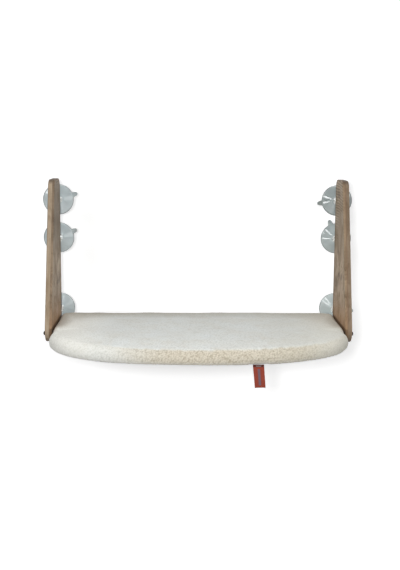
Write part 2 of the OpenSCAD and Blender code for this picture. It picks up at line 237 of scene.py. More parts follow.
def add_node(tree, kind, inputs=None, **settings):
    """A shader node with its settings, and with its inputs fed."""
    node = tree.nodes.new(kind)
    for name, setting in settings.items():
        setattr(node, name, setting)
    for name, value in (inputs or {}).items():
        feed(value, node.inputs[name])
    return node


def result(tree, kind, inputs=None, output=0, **settings):
    """One output of a new node."""
    return Value(add_node(tree, kind, inputs, **settings).outputs[output])


def results(node):
    """All outputs of a node, by name."""
    return {socket.name: Value(socket) for socket in node.outputs if socket.name}


def object_place(tree):
    """The point in the part's own frame."""
    return result(tree, "ShaderNodeTexCoord", output="Object")


def point_value(tree, name):
    """A number that a piece keeps for each of its points."""
    return result(tree, "ShaderNodeAttribute", output="Fac", attribute_name=name)


def axes(vector):
    """The three numbers of a place or direction."""
    return list(results(add_node(vector.tree, "ShaderNodeSeparateXYZ", {0: vector})).values())


def vector_math(operation, first, second):
    """The result of a Vector Math node on two vectors."""
    return result(first.tree, "ShaderNodeVectorMath", {0: first, 1: second}, operation=operation)


def larger(first, second):
    """The larger of two numbers."""
    return first.math("MAXIMUM", second)


def stretched(vector, scales):
    """A vector with each of its three places multiplied by its own scale."""
    return vector_math("MULTIPLY", vector, scales)


def how_far(vector):
    """How long a vector is."""
    return result(vector.tree, "ShaderNodeVectorMath", {0: vector}, "Value", operation="LENGTH")


def noise(vector, scale=1.0, detail=2.0, roughness=0.5, distortion=0.0):
    """A Noise texture's value."""
    return result(vector.tree, "ShaderNodeTexNoise", {
        "Vector": vector, "Scale": scale, "Detail": detail, "Roughness": roughness, "Distortion": distortion})


def evenly(value, low, high, start, end):
    """Goes evenly from start to end while a value goes from low to high."""
    return result(value.tree, "ShaderNodeMapRange", {
        "Value": value, "From Min": low, "From Max": high, "To Min": start, "To Max": end})


def ramp(value, low, high, start=0.0, end=1.0):
    """Goes from start to end by a smooth S while a value goes from low to high."""
    step = evenly(value, low, high, start, end)
    step.socket.node.interpolation_type = "SMOOTHSTEP"
    return step


def mix(share, first, second):
    """Two colours mixed, with the given share of the second."""
    return result(share.tree, "ShaderNodeMix", {0: share, 6: first, 7: second}, 2, data_type="RGBA")


def painted(colour, *layers):
    """A colour with others laid over it in turn, each with its own share."""
    for share, tone in layers:
        colour = mix(share, colour, tone)
    return colour


def bump(height, distance, strength=1.0):
    """A normal from a height."""
    return result(height.tree, "ShaderNodeBump", {
        "Height": height, "Distance": distance, "Strength": strength})


def empty_tree(owner):
    """The emptied node tree of a material or world."""
    owner.use_nodes = True
    owner.node_tree.nodes.clear()
    return owner.node_tree


def new_material(name):
    """A material with a Principled surface, its tree and that surface."""
    material = bpy.data.materials.new(name)
    tree = empty_tree(material)
    surface = add_node(tree, "ShaderNodeBsdfPrincipled")
    add_node(tree, "ShaderNodeOutputMaterial", {"Surface": Value(surface.outputs[0])})
    return material, tree, surface


def set_sockets(node, **inputs):
    """Feeds a node's sockets. An underscore in a name stands for a space."""
    for name, value in inputs.items():
        feed(value, node.inputs[name.replace("_", " ")])


# --- camera, wall and light

CAMERA_PLACE = (-0.0326, -1.9349, 0.3484)
CAMERA_DOWN = math.radians(8.696)
CAMERA_PAN = math.radians(-1.112)
CAMERA_ROLL = math.radians(0.334)
CAMERA_LENS = 61.95
SENSOR = 36


def make_camera():
    """The camera a little left of the middle, looking slightly down, turned a little about its own axis."""
    data = bpy.data.cameras.new("camera")
    data.sensor_width = SENSOR
    data.lens = CAMERA_LENS
    camera = bpy.data.objects.new("camera", data)
    scene.collection.objects.link(camera)
    aim = Matrix.Rotation(CAMERA_PAN, 3, "Z") @ Matrix.Rotation(math.pi / 2 - CAMERA_DOWN, 3, "X")
    camera.rotation_euler = (aim @ Matrix.Rotation(CAMERA_ROLL, 3, "Z")).to_euler()
    camera.location = CAMERA_PLACE
    scene.camera = camera


WALL_Y = 0.075
WALL_TOP = 2.2
FLOOR_Z = -0.78
SWEEP_R = 0.25
STAGE_HALF_W = 4.0
FLOOR_FRONT_Y = -5.0
WALL_WHITE = (0.95, 0.95, 0.95, 1)
WHITE = (1, 1, 1, 1)


def white_stage_material():
    """A white wall and floor that keep soft shadows. Seen from behind it isn't there, and it lights
    nothing. Its own glow falls off upwards, is stronger below the bed and weaker close to the boards'
    inner faces."""
    material = bpy.data.materials.new("white_stage")
    tree = empty_tree(material)
    path = results(add_node(tree, "ShaderNodeLightPath"))
    seen = larger(larger(path["Is Camera Ray"], path["Is Glossy Ray"]), path["Is Transmission Ray"])
    shown = seen * (1.0 - result(tree, "ShaderNodeNewGeometry", output="Backfacing"))
    x, _, z = axes(object_place(tree))
    glow = evenly(x, -0.4, 0.4, -0.018, 0.012) + evenly(z, -0.10, 0.55, 0.38, 0.19)
    # The glow under the bed is painted light that clears the bed's shadow there; the weaker glow beside the
    # boards is painted shade on the wall.
    under_bed = ramp(z, -0.115, -0.165, 0.0, 0.07)
    beside_boards = ramp(z, -0.03, 0.03, 0.0, 0.05) * ramp(abs(x), 0.30, 0.26) * ramp(abs(x), 0.19, 0.23)
    paint = result(tree, "ShaderNodeBsdfDiffuse", {"Color": WALL_WHITE})
    light = result(tree, "ShaderNodeEmission", {"Color": WHITE, "Strength": glow + under_bed - beside_boards})
    lit = result(tree, "ShaderNodeAddShader", {0: paint, 1: light})
    clear = result(tree, "ShaderNodeBsdfTransparent")
    mixed = result(tree, "ShaderNodeMixShader", {0: shown, 1: clear, 2: lit})
    add_node(tree, "ShaderNodeOutputMaterial", {"Surface": mixed})
    return material


def make_stage():
    """A wall behind the cups that sweeps into a floor: one profile of wall, quarter circle and floor,
    drawn sideways."""
    turn = np.linspace(0, math.pi / 2, 24)
    profile = np.concatenate([
        [[WALL_Y, WALL_TOP]],
        np.stack([WALL_Y - SWEEP_R * (1 - np.cos(turn)), FLOOR_Z + SWEEP_R * (1 - np.sin(turn))], axis=1),
        [[FLOOR_FRONT_Y, FLOOR_Z]],
    ])
    points = np.zeros((len(profile), 2, 3))
    points[:, 0, 0], points[:, 1, 0] = -STAGE_HALF_W, STAGE_HALF_W
    points[:, :, 1:] = profile[:, None, :]
    stage = new_mesh("white_stage", points, grid_faces(len(profile), 2)[:, ::-1])
    stage.data.materials.append(white_stage_material())


SKY_LEVEL = 0.28
PART_MIDDLE, LEFT_CUPS, RIGHT_CUPS = (0, -0.1, 0.1), (-0.274, 0, 0.15), (0.274, 0, 0.15)
# Name, place, place that it faces, width, height and power of each lamp
LAMPS = [
    ("key_light", (-1.5, -1.8, 1.15), PART_MIDDLE, 1.1, 1.1, 12.5),
    ("fill_light", (1.5, -1.8, 0.9), PART_MIDDLE, 1.1, 1.1, 10.5),
    ("top_light", (0.0, -0.5, 2.0), (0, -0.25, 0), 0.9, 0.9, 10),
    ("front_light", (-0.15, -1.95, 0.39), PART_MIDDLE, 0.13, 0.13, 11),
    ("cup_light_side", (0.405, -1.5, 0.20), LEFT_CUPS, 0.26, 0.36, 0.36),
]
# Places, in x and z, of the small lamps that the right cups mirror as two fine lines each
GLINT_LAMPS = [(-0.316, 0.376), (-0.158, 0.535), (-0.056, 0.373), (-0.362, -0.018), (-0.226, 0.162)]
LAMPS += [(f"glint_light_{number + 1}", (x, -1.5, z), RIGHT_CUPS, 0.05, 0.12, 0.10)
          for number, (x, z) in enumerate(GLINT_LAMPS)]


def make_light():
    """Even light from all round, a soft lamp at each side, one overhead, a smaller one near the camera for
    the shadows on the wall, which nothing mirrors, and small lamps that the cups mirror."""
    scene.world = bpy.data.worlds.new("studio")
    tree = empty_tree(scene.world)
    path = results(add_node(tree, "ShaderNodeLightPath"))
    level = evenly(larger(path["Is Camera Ray"], path["Is Transmission Ray"]), 0.0, 1.0, SKY_LEVEL, 1.0)
    sky = result(tree, "ShaderNodeBackground", {"Color": WHITE, "Strength": level})
    add_node(tree, "ShaderNodeOutputWorld", {"Surface": sky})
    for name, place, target, width, height, watts in LAMPS:
        data = bpy.data.lights.new(name, "AREA")
        data.shape = "RECTANGLE"
        data.size, data.size_y, data.energy = width, height, watts
        lamp = bpy.data.objects.new(name, data)
        lamp.visible_glossy = name != "front_light"
        lamp.visible_transmission = False
        lamp.location = place
        lamp.rotation_euler = (Vector(target) - Vector(place)).to_track_quat("-Z", "Y").to_euler()
        scene.collection.objects.link(lamp)


# --- shader groups

FLOAT, COLOUR, VECTOR = "NodeSocketFloat", "NodeSocketColor", "NodeSocketVector"


def new_group(name, inputs, outputs):
    """A shader group with named sockets of each kind, and the values that it is given."""
    group = bpy.data.node_groups.new(name, "ShaderNodeTree")
    for way, sockets in (("INPUT", inputs), ("OUTPUT", outputs)):
        for kind, labels in sockets.items():
            for label in labels:
                group.interface.new_socket(label, in_out=way, socket_type=kind)
    return group, results(group.nodes.new("NodeGroupInput"))


def finished_group(group, **outputs):
    """A shader group with its outputs fed."""
    set_sockets(group.nodes.new("NodeGroupOutput"), **outputs)
    return group


def use_group(group, **inputs):
    """The outputs of a shader group placed in the material that its vector comes from."""
    node = add_node(inputs["Vector"].tree, "ShaderNodeGroup", node_tree=group)
    set_sockets(node, **inputs)
    return results(node)


def make_timber_group():
    """Wood whose growth lines are the level lines of a noise drawn out along the grain (z), bent round
    scattered knots, with fine fibres, pores and blotches of stain."""
    group, given = new_group("timber", {
        VECTOR: ["Vector"], COLOUR: ["Light", "Dark", "Knot"],
        FLOAT: ["Lines", "Line Strength", "Knots", "Blotch"],
    }, {COLOUR: ["Color"], FLOAT: ["Height", "Roughness"]})
    place = given["Vector"]
    to_knot = result(group, "ShaderNodeTexVoronoi", {
        "Vector": stretched(place, (12.0, 17.0, 8.5)), "Scale": 1.0}, "Distance")
    bend = ramp(to_knot, 0.42, 0.02) * given["Knots"] * 0.16
    field = noise(stretched(place, (9.0, 13.0, 3.6)), 1.0, 2.0, 0.45, 0.35) + bend
    wobble = noise(stretched(place, (160.0, 160.0, 34.0))) * 0.12
    year = (field * given["Lines"] + wobble).math("FRACT")
    late = ramp(year, 0.25, 0.86) * ramp(year, 1.0, 0.92)
    fibre = noise(stretched(place, (900.0, 900.0, 26.0)), 1.0, 3.0, 0.6)
    pore = ramp(noise(stretched(place, (700.0, 700.0, 60.0)), 1.0, 1.0), 0.62, 0.74)
    stain = noise(stretched(place, (38.0, 38.0, 16.0)), 1.0, 3.0, 0.6)
    shade = late * given["Line Strength"] + ramp(fibre, 0.35, 0.7) * 0.22 + pore * 0.18
    shade = shade.math("ADD", ramp(stain, 0.36, 0.66) * given["Blotch"], clamp=True)
    core = ramp(to_knot, 0.16, 0.05) * given["Knots"]
    return finished_group(
        group, Color=mix(core, mix(shade, given["Light"], given["Dark"]), given["Knot"]),
        Height=1.0 - (late * 0.5 + fibre * 0.5 + pore), Roughness=ramp(shade, 0.0, 1.0, 0.52, 0.74))


def make_saw_mark_group():
    """Shallow arcs left by a round saw: waves of the distance from a far centre, worn away in patches."""
    group, given = new_group("saw_marks", {VECTOR: ["Vector", "Centre"], FLOAT: ["Pitch"]},
                             {FLOAT: ["Height", "Mask"]})
    place = given["Vector"]
    far = how_far(stretched(vector_math("SUBTRACT", place, given["Centre"]), (0.0, 1.0, 1.0)))
    sway = noise(place, 30.0, 3.0, 0.6) * 0.007
    wave = ((far + sway) / given["Pitch"] * (2 * math.pi)).math("SINE")
    worn = ramp(noise(stretched(place, (20.0, 20.0, 14.0))), 0.18, 0.45)
    uneven = ramp(noise(stretched(place, (45.0, 45.0, 200.0)), 1.0, 1.0), 0.12, 0.50)
    patch = worn * uneven
    return finished_group(group, Height=(wave * 0.5 + 0.5) * patch, Mask=patch)


def make_spot_group():
    """A soft spot round one place on a board's face, with half sizes along y and z and a ragged rim."""
    group, given = new_group("wood_spot", {VECTOR: ["Vector", "Centre", "Half Size"]}, {FLOAT: ["Mask"]})
    away = vector_math("SUBTRACT", given["Vector"], given["Centre"])
    far = how_far(vector_math("DIVIDE", away, given["Half Size"]))
    ragged = noise(given["Vector"], 190.0) * 0.7 - 0.35
    return finished_group(group, Mask=ramp(far + ragged, 1.1, 0.45))


THREAD_SHADOW = (0.02, 0.018, 0.015, 1)


def make_cloth_group():
    """A plain weave: two sets of rounded threads that pass over each other by turns, with slubs."""
    group, given = new_group("woven_cloth", {
        VECTOR: ["Vector"], FLOAT: ["Threads", "Depth"], COLOUR: ["Colour"],
    }, {COLOUR: ["Color"], FLOAT: ["Height"]})
    warp, weft, _ = axes(stretched(given["Vector"], given["Threads"]))
    over = (warp * math.pi).math("SINE") * (weft * math.pi).math("SINE")
    height = (over + 1.0) * 0.5
    slub = noise(given["Vector"], 260.0, 3.0, 0.6)
    dark = ((1.0 - height) * given["Depth"]).math("ADD", (slub - 0.5) * 0.3, clamp=True)
    return finished_group(group, Color=mix(dark, given["Colour"], THREAD_SHADOW), Height=height + slub * 0.6)


def make_smudge_group():
    """Uneven polish: broad smears and fine scratches, for metal and vinyl."""
    group, given = new_group("smudges", {VECTOR: ["Vector"], FLOAT: ["Scale", "Low", "High"]},
                             {FLOAT: ["Roughness", "Mask", "Height"]})
    smear = noise(given["Vector"], given["Scale"], 4.0, 0.6, 0.4)
    fine = noise(given["Vector"], given["Scale"] * 22.0)
    mask = ramp(smear, 0.35, 0.68)
    return finished_group(group, Roughness=given["Low"] + mask * (given["High"] - given["Low"]), Mask=mask,
                          Height=smear * 0.4 + fine * 0.6)


TIMBER = make_timber_group()
SAW_MARKS = make_saw_mark_group()
WOOD_SPOT = make_spot_group()
CLOTH = make_cloth_group()
SMUDGES = make_smudge_group()


# --- wood

FRONT_LIGHT = {LEFT: linear(175, 157, 135), RIGHT: linear(146, 129, 109)}
FRONT_DARK = {LEFT: linear(140, 121, 98), RIGHT: linear(116, 98, 78)}
FACE_LIGHT = {LEFT: linear(178, 156, 129), RIGHT: linear(190, 166, 137)}
FACE_DARK = {LEFT: linear(106, 89, 72), RIGHT: linear(110, 91, 71)}
SAW_STRENGTH = {LEFT: 1.0, RIGHT: 0.70}
SAW_PITCH = {LEFT: 0.0050, RIGHT: 0.0052}
SAW_CENTRE_Y = {LEFT: -0.030, RIGHT: -0.048}
SHADED_HIGH = {LEFT: 0.22, RIGHT: 0.05}
FACE_WARM = linear(184, 142, 104)
SAW_BROWN = linear(86, 73, 57)
KNOT_BROWN = linear(70, 53, 42)
PALE_STREAK = linear(206, 190, 160)
END_BROWN = linear(84, 69, 54)
GAP_SHADE = linear(84, 62, 42)
ARRIS_BROWN = linear(126, 94, 70)
ARRIS_STRENGTH = {LEFT: 0.0, RIGHT: 0.45}
# Places on the faces, in y and z, with half sizes: a colour and a strength for each
FACE_SPOTS = {
    LEFT: [((-0.062, 0.100), (0.012, 0.014), PALE_STREAK, 0.45),
           ((-0.030, 0.020), (0.014, 0.020), KNOT_BROWN, 0.60),
           ((-0.118, 0.190), (0.020, 0.010), KNOT_BROWN, 0.25),
           ((-0.075, 0.070), (0.030, 0.006), KNOT_BROWN, 0.40),
           ((-0.024, 0.155), (0.008, 0.006), KNOT_BROWN, 0.60)],
    RIGHT: [((-0.071, 0.128), (0.009, 0.006), KNOT_BROWN, 0.60),
            ((-0.105, 0.102), (0.005, 0.013), PALE_STREAK, 0.75),
            ((-0.090, 0.086), (0.009, 0.008), KNOT_BROWN, 0.70),
            ((-0.060, 0.070), (0.034, 0.012), KNOT_BROWN, 0.25),
            ((-0.060, 0.238), (0.018, 0.007), KNOT_BROWN, 0.35)],
}


def board_material(side):
    """Stained wood for one side board: a rustic inner face with saw marks, plain growth lines outside,
    smoother and lighter edges, and dark ends."""
    material, tree, surface = new_material(f"stained_wood_{SIDE_NAMES[side]}")
    place = object_place(tree)
    x, y, z = axes(place)
    into_board = abs(x) - BOARD_IN_X
    normal_x, _, normal_z = axes(result(tree, "ShaderNodeNewGeometry", output="Normal"))
    sideways, upright = abs(normal_x), abs(normal_z)
    moved = vector_math("ADD", place, (0.0, 0.37 * side, 0.11 * side))
    face_tones = {"Light": FACE_LIGHT[side], "Dark": FACE_DARK[side], "Knot": KNOT_BROWN}
    face = use_group(TIMBER, Vector=stretched(moved, (1.0, 1.0, 2.0)), **face_tones, Lines=22.0,
                     Line_Strength=ramp(z, 0.10, 0.145, 0.24, 0.08), Knots=0.6, Blotch=0.48)
    outer = use_group(TIMBER, Vector=stretched(moved, (1.0, 1.0, 0.6)), **face_tones, Lines=20.0,
                      Line_Strength=0.5, Knots=0.8, Blotch=0.30)
    edge = use_group(TIMBER, Vector=stretched(moved, (2.2, 1.0, 0.45)), Light=FRONT_LIGHT[side],
                     Dark=FRONT_DARK[side], Knot=FRONT_DARK[side], Lines=14.0, Line_Strength=0.35, Knots=0.0,
                     Blotch=0.55)
    saw = use_group(SAW_MARKS, Vector=place, Centre=(0.0, SAW_CENTRE_Y[side], -0.20), Pitch=SAW_PITCH[side])
    outside = ramp(into_board, 0.0070, 0.0090)
    near_bed = ramp(into_board, 0.0046, 0.0034)
    sawn = saw["Mask"] * ramp(into_board, 0.0010, 0.0002) * larger(
        ramp(z, 0.115, 0.150) * SAW_STRENGTH[side], ramp(z, 0.055, 0.030) * 0.35)
    spots = [(use_group(WOOD_SPOT, Vector=place, Centre=(side * BOARD_IN_X, *centre),
                        Half_Size=(0.008, *half_size))["Mask"] * strength, tone)
             for centre, half_size, tone, strength in FACE_SPOTS[side]]
    colour = painted(
        # the saw arcs' ridges painted lighter and their hollows darker: painted light and shade on the arcs
        face["Color"], (sawn * saw["Height"], FACE_LIGHT[side]), ((1.0 - saw["Height"]) * sawn, SAW_BROWN),
        (outside, outer["Color"]), (ramp(z, 0.12, 0.20, 0.0, SHADED_HIGH[side]), SAW_BROWN),
        (ramp(z, 0.060, -0.005, 0.0, 0.55), FACE_WARM), *spots,
        (ramp(y, -0.046, -0.024, 0.0, 0.42), KNOT_BROWN),
        # painted shade in the crevice where the bed meets the board's face
        (ramp(z, 0.0010, -0.0025, 0.0, 0.70) * near_bed, GAP_SHADE),
        (ramp(sideways, 0.85, 0.50, 0.0, 0.50), FACE_DARK[side]))
    arris = ramp(into_board, 0.0030, 0.0042) * ramp(into_board, 0.0068, 0.0052, 0.0, ARRIS_STRENGTH[side])
    on_face = larger(ramp(sideways, 0.50, 0.85), near_bed)
    colour = mix(on_face, mix(arris, edge["Color"], ARRIS_BROWN), colour)
    colour = mix(ramp(upright, 0.40, 0.95) * 0.85, colour, END_BROWN)
    grain = outside * (outer["Height"] - face["Height"]) + face["Height"]
    height = grain + saw["Height"] * 0.8 * (1.0 - outside)
    set_sockets(surface, Base_Color=colour, Roughness=face["Roughness"], Specular_IOR_Level=0.3,
                Normal=bump(height, 0.0004, 0.8))
    return material


PLY_PITCH = 0.0026


def plywood_material():
    """Birch plywood: level plies that show as bands on every edge, with a quiet face grain along x."""
    material, tree, surface = new_material("plywood")
    place = object_place(tree)
    turned = result(tree, "ShaderNodeMapping", {"Vector": place, "Rotation": (0, math.pi / 2, 0)})
    face = use_group(TIMBER, Vector=turned, Light=linear(216, 190, 148), Dark=linear(174, 138, 96),
                     Knot=linear(120, 84, 56), Lines=12.0, Line_Strength=0.4, Knots=0.2, Blotch=0.4)
    ply = (axes(place)[2] * (2 * math.pi / PLY_PITCH)).math("SINE")
    colour = mix(ramp(ply, 0.2, 0.7, 0.0, 0.35), face["Color"], linear(150, 112, 76))
    set_sockets(surface, Base_Color=colour, Roughness=face["Roughness"],
                Normal=bump(face["Height"], 0.0003, 0.5))
    return material


# --- vinyl cups

# Each side's tone, and each cup's step paler or darker, are painted light and shade for how lit that cup is;
# the right cups' darker rim line too.
VINYL = {LEFT: np.array([195, 205, 207]), RIGHT: np.array([177, 187, 187])}
VINYL_CLOUDIER = 12
VINYL_PAINTED_LIGHT = {LEFT: {"upper": 0, "middle": 0, "lower": 10}, RIGHT: {"upper": -10, "middle": 8, "lower": 36}}
VINYL_RIM = {LEFT: linear(150, 160, 160), RIGHT: linear(134, 145, 144)}
VINYL_HUB = linear(226, 229, 220)
TAB_ROOT, TAB_TIP, TAB_END_R = (0.023, 0.007), (0.0355, 0.004), 0.004
TAB_TURN = math.radians(17)
TAB_LOW, TAB_HIGH = 0.0006, 0.0022
TAB_LIFT = 0.0014
CONE_FOOT, CONE_TOP = (0.0286, 0.00185), (0.0098, 0.0070)
NECK_R, NECK_END = 0.0070, 0.0227
HOLLOW = 0.0026
RIM_THICK, RIM_THIN = 0.0017, 0.0003
SOFT_ROOT = 0.0005


def tab_reach(turn):
    """Distance of the cup's outline from its axis in each direction: the rim, or the far side of the tab,
    which is a disc at the tip and straight sides that narrow towards it, blended softly at the root."""
    turn = np.where(turn > math.pi, turn - 2 * math.pi, turn)
    inside = np.clip(TAB_END_R ** 2 - (TAB_TIP[0] * np.sin(turn)) ** 2, 0, None)
    disc = np.where(inside > 0, TAB_TIP[0] * np.cos(turn) + np.sqrt(inside), 0)
    slope = np.tan(np.abs(turn))
    tab_l = TAB_TIP[0] - TAB_ROOT[0]
    share = (TAB_ROOT[1] - TAB_ROOT[0] * slope) / (TAB_ROOT[1] - TAB_TIP[1] + tab_l * slope)
    sides = (TAB_ROOT[0] + tab_l * np.clip(share, 0, 1)) / np.cos(turn)
    tab = np.where(np.abs(turn) < TAB_TURN, np.maximum(disc, np.where(share > 0, sides, 0)), 0)
    return CUP_R + SOFT_ROOT * np.log1p(np.exp(np.clip((tab - CUP_R) / SOFT_ROOT, -40, 40)))


def cup_rings():
    """Rings of a cup from the pocket round its stud, over the neck, cone and rim, to the hollow behind:
    distance from the axis, distance from the glass, and the share by which each one follows the tab."""
    fillet = np.linspace(0, math.pi / 2, 9)
    bulb = np.linspace(0, 1, 13)
    cone = np.linspace(0, 1, 15)[1:]
    tab = np.linspace(0, 1, 8)[1:]
    parts = [
        [(0.0043, 0.0124, 0), (0.0043, 0.0160, 0), (0.0026, 0.0160, 0), (0.0026, 0.0223, 0)],
        [(0.0030, NECK_END, 0), (0.0062, NECK_END, 0), (0.0068, 0.0224, 0), (NECK_R, 0.0218, 0)],
        [(NECK_R + (HUB_R - NECK_R) * math.sin(math.pi * b) ** 1.5, 0.0205 - 0.0093 * b, 0) for b in bulb],
        [(NECK_R + 0.0028 * (1 - math.cos(a)), 0.0098 - 0.0028 * math.sin(a), 0) for a in fillet],
        [(*(top + (foot - top) * c for top, foot in zip(CONE_TOP, CONE_FOOT)), 0) for c in cone],
        [(CONE_FOOT[0] + 0.0008 * t, TAB_HIGH, t) for t in tab],
        [(0.0298, 0.0019, 1), (CUP_R, 0.0014, 1), (0.0298, 0.0009, 1), (0.0294, TAB_LOW, 1)],
        [(0.0297, 0.0004, 0), (0.0290, 0.0, 0), (0.0260, 0.0, 0), (0.0230, 0.0, 0)],
        [(0.023 * math.sin(a), HOLLOW * math.cos(a), 0) for a in np.linspace(math.pi / 2, 0.12, 12)[1:]],
    ]
    return np.array([ring for part in parts for ring in part])


def make_cup(side, level):
    """A suction cup: rings round its own axis, whose rim follows the outline of the pull tab. Each ring is a
    circle, or the outline less the ring's distance from the rim, and both ends close on the axis."""
    turns = np.concatenate([np.linspace(-TAB_TURN, TAB_TURN, 86),
                            np.linspace(TAB_TURN, 2 * math.pi - TAB_TURN, 132)[1:-1]])
    rings = cup_rings()
    radius, high, follow = (rings[:, k][:, None] for k in range(3))
    reach = tab_reach(turns)[None]
    out = radius + follow * (reach - CUP_R)
    on_tab = smooth_step(reach - CUP_R, 0.0, 0.0025)
    round_rim = RIM_THICK + (RIM_THIN - RIM_THICK) * smooth_step(radius, CONE_FOOT[0], CUP_R)
    at_rim = (follow > 0) & (high > 0.0015)
    high = np.where(at_rim, high + (round_rim - high) * (1 - on_tab), high)
    high = high + TAB_LIFT * smooth_step(out, 0.0305, 0.0400)
    whole = np.radians(TAB_TURNS[side][level]) + turns[None]
    points = spread(out * np.cos(whole), -high, out * np.sin(whole))
    outline = spread(reach[0] * np.cos(whole[0]), reach[0] * np.sin(whole[0]))
    flat = points[..., [0, 2]].reshape(-1, 2)
    rim_gap = np.full(len(flat), 1.0)
    near = np.repeat(rings[:, 0] > 0.026, len(turns))
    rim_gap[near] = np.sqrt(((flat[near][:, None] - outline[None]) ** 2).sum(axis=-1)).min(axis=1)
    count = len(turns)
    ends = np.array([[0, -rings[0, 1], 0], [0, -HOLLOW, 0]])
    points = np.concatenate([points.reshape(-1, 3), ends]) + (side * BOARD_MID_X, 0, CUP_Z[level])
    start, last = np.arange(count), (len(rings) - 1) * count + np.arange(count)
    caps = np.concatenate([spread(np.roll(start, -1), start, len(points) - 2),
                           spread(last, np.roll(last, -1), len(points) - 1)])
    faces = grid_faces(len(rings), count, close_columns=True)
    name = f"cup_{level}_{SIDE_NAMES[side]}"
    cup = new_mesh(name, points, faces.tolist() + caps.tolist())
    add_values(cup, "rim", np.append(1 - smooth_step(rim_gap, 0.0004, 0.0016), [0, 0]))
    add_values(cup, "hub", np.append(np.repeat(smooth_step(rings[:, 1], 0.0100, 0.0115), count), [1, 0]))
    foot = smooth_step(rings[:, 1], 0.0072, 0.0084) * (1 - smooth_step(rings[:, 1], 0.0100, 0.0112))
    add_values(cup, "ring", np.append(np.repeat(foot, count), [0, 0]))
    finish_piece(cup, name, "clear_vinyl", vinyl_material(side, level), name)


def vinyl_material(side, level):
    """Cloudy vinyl: a darker line along the rim and the tab, a pale solid hub and a dark ring at its foot."""
    material, tree, surface = new_material(f"clear_vinyl_{level}_{SIDE_NAMES[side]}")
    rim, hub, ring = (point_value(tree, name) for name in ("rim", "hub", "ring"))
    place = object_place(tree)
    cloud = noise(place, 55.0, 1.0, 0.4)
    # Painted light and shade: the cup's tone is its side's, stepped paler or darker for how lit it is.
    tone = VINYL[side] + VINYL_PAINTED_LIGHT[side][level]
    colour = mix(ramp(cloud, 0.3, 0.75), linear(*tone), linear(*(tone + VINYL_CLOUDIER)))
    colour = painted(colour, (larger(rim, ring) * 0.6, VINYL_RIM[side]), (hub, VINYL_HUB))
    smudge = use_group(SMUDGES, Vector=place, Scale=45.0, Low=0.28, High=0.34)
    set_sockets(surface, Base_Color=colour, Roughness=smudge["Roughness"], IOR=1.45, Transmission_Weight=0.45,
                Subsurface_Weight=0.15, Subsurface_Radius=(0.004, 0.005, 0.005), Subsurface_Scale=1.0,
                Coat_Weight=0.9, Coat_Roughness=0.02, Coat_IOR=2.0, Normal=bump(cloud, 0.00003, 0.1))
    return material


# --- metal

def metal_material(name, bright, dark, low, high, metallic=1.0):
    """Metal with uneven polish and a darker film in its smears."""
    material, tree, surface = new_material(name)
    smudge = use_group(SMUDGES, Vector=object_place(tree), Scale=150.0, Low=low, High=high)
    set_sockets(surface, Base_Color=mix(smudge["Mask"], bright, dark), Metallic=metallic,
                Roughness=smudge["Roughness"], Normal=bump(smudge["Height"], 0.00008, 0.5))
    return material


# --- the bed's outline

OUTLINE_STEPS = 400
SIDE_TURN = math.radians(38)


def far_along(line):
    """How far along a line of points each of them lies."""
    return np.concatenate([[0], np.cumsum(np.linalg.norm(np.diff(line, axis=0), axis=1))])


def points_at(line, far):
    """The points that lie so far along a line of points."""
    return spread(*(np.interp(far, far_along(line), line[:, k]) for k in range(2)))


def even_points(line, count):
    """Points at even steps along a line of many points."""
    return points_at(line, np.linspace(0, far_along(line)[-1], count + 1))


def front_curve(start, end):
    """The bed's front: x is half the width times a power of the cosine, and y falls by a power of the
    sine."""
    t = np.linspace(start, end, OUTLINE_STEPS)
    x = BED_HALF_W * np.sign(np.cos(t)) * np.abs(np.cos(t)) ** (2 / FRONT_POWER)
    return spread(x, BED_SIDE_Y - BED_BULGE * np.sin(t) ** (2 / FRONT_POWER))


def back_corner(side, start, end):
    """The quarter circle at a back corner, from the side's direction to the back's."""
    t = np.linspace(start, end, OUTLINE_STEPS)
    return spread(side * (BED_HALF_W - BED_BACK_R * (1 - np.cos(t))),
                  BED_BACK_Y - BED_BACK_R * (1 - np.sin(t)))


def outline_sides(across, along):
    """The bed's outline as four sides of a net: back (left to right), right, front and left (back to
    front)."""
    half = math.pi / 4
    back = np.concatenate([back_corner(LEFT, half, 2 * half), back_corner(RIGHT, 2 * half, half)])
    right = np.concatenate([back_corner(RIGHT, half, 0), front_curve(0, SIDE_TURN)])
    front = front_curve(SIDE_TURN, math.pi - SIDE_TURN)[::-1]
    sides = (back, across), (right, along), (front, across), (right * (-1, 1), along)
    return [even_points(line, count) for line, count in sides]


def drawn_in(points, inset):
    """Outline points moved in towards the bed's middle, in proportion to its width and depth."""
    x = points[..., 0] * (1 - inset / BED_HALF_W)
    y = BED_MID_Y + (points[..., 1] - BED_MID_Y) * (1 - inset / BED_HALF_D)
    return spread(x, y)


def net_inside(back, right, front, left):
    """A net of points between four sides: the sum of the two straight blends across, less the blend of
    the corners."""
    u = np.linspace(0, 1, len(back))[None, :, None]
    v = np.linspace(0, 1, len(right))[:, None, None]
    corners = ((1 - v) * ((1 - u) * back[0] + u * back[-1]) + v * ((1 - u) * front[0] + u * front[-1]))
    return (1 - v) * back[None] + v * front[None] + (1 - u) * left[:, None] + u * right[:, None] - corners


def around(back, right, front, left):
    """The four sides as one closed line: along the back, down the right, back along the front and up the
    left."""
    return np.concatenate([back[:-1], right[:-1], front[::-1][:-1], left[::-1][:-1]])


def rim_indices(across, along):
    """Places in the net, kept row by row, of the points of that closed line."""
    columns = across + 1
    return np.concatenate([
        np.arange(across), np.arange(along) * columns + across,
        along * columns + np.arange(across, 0, -1), np.arange(along, 0, -1) * columns])


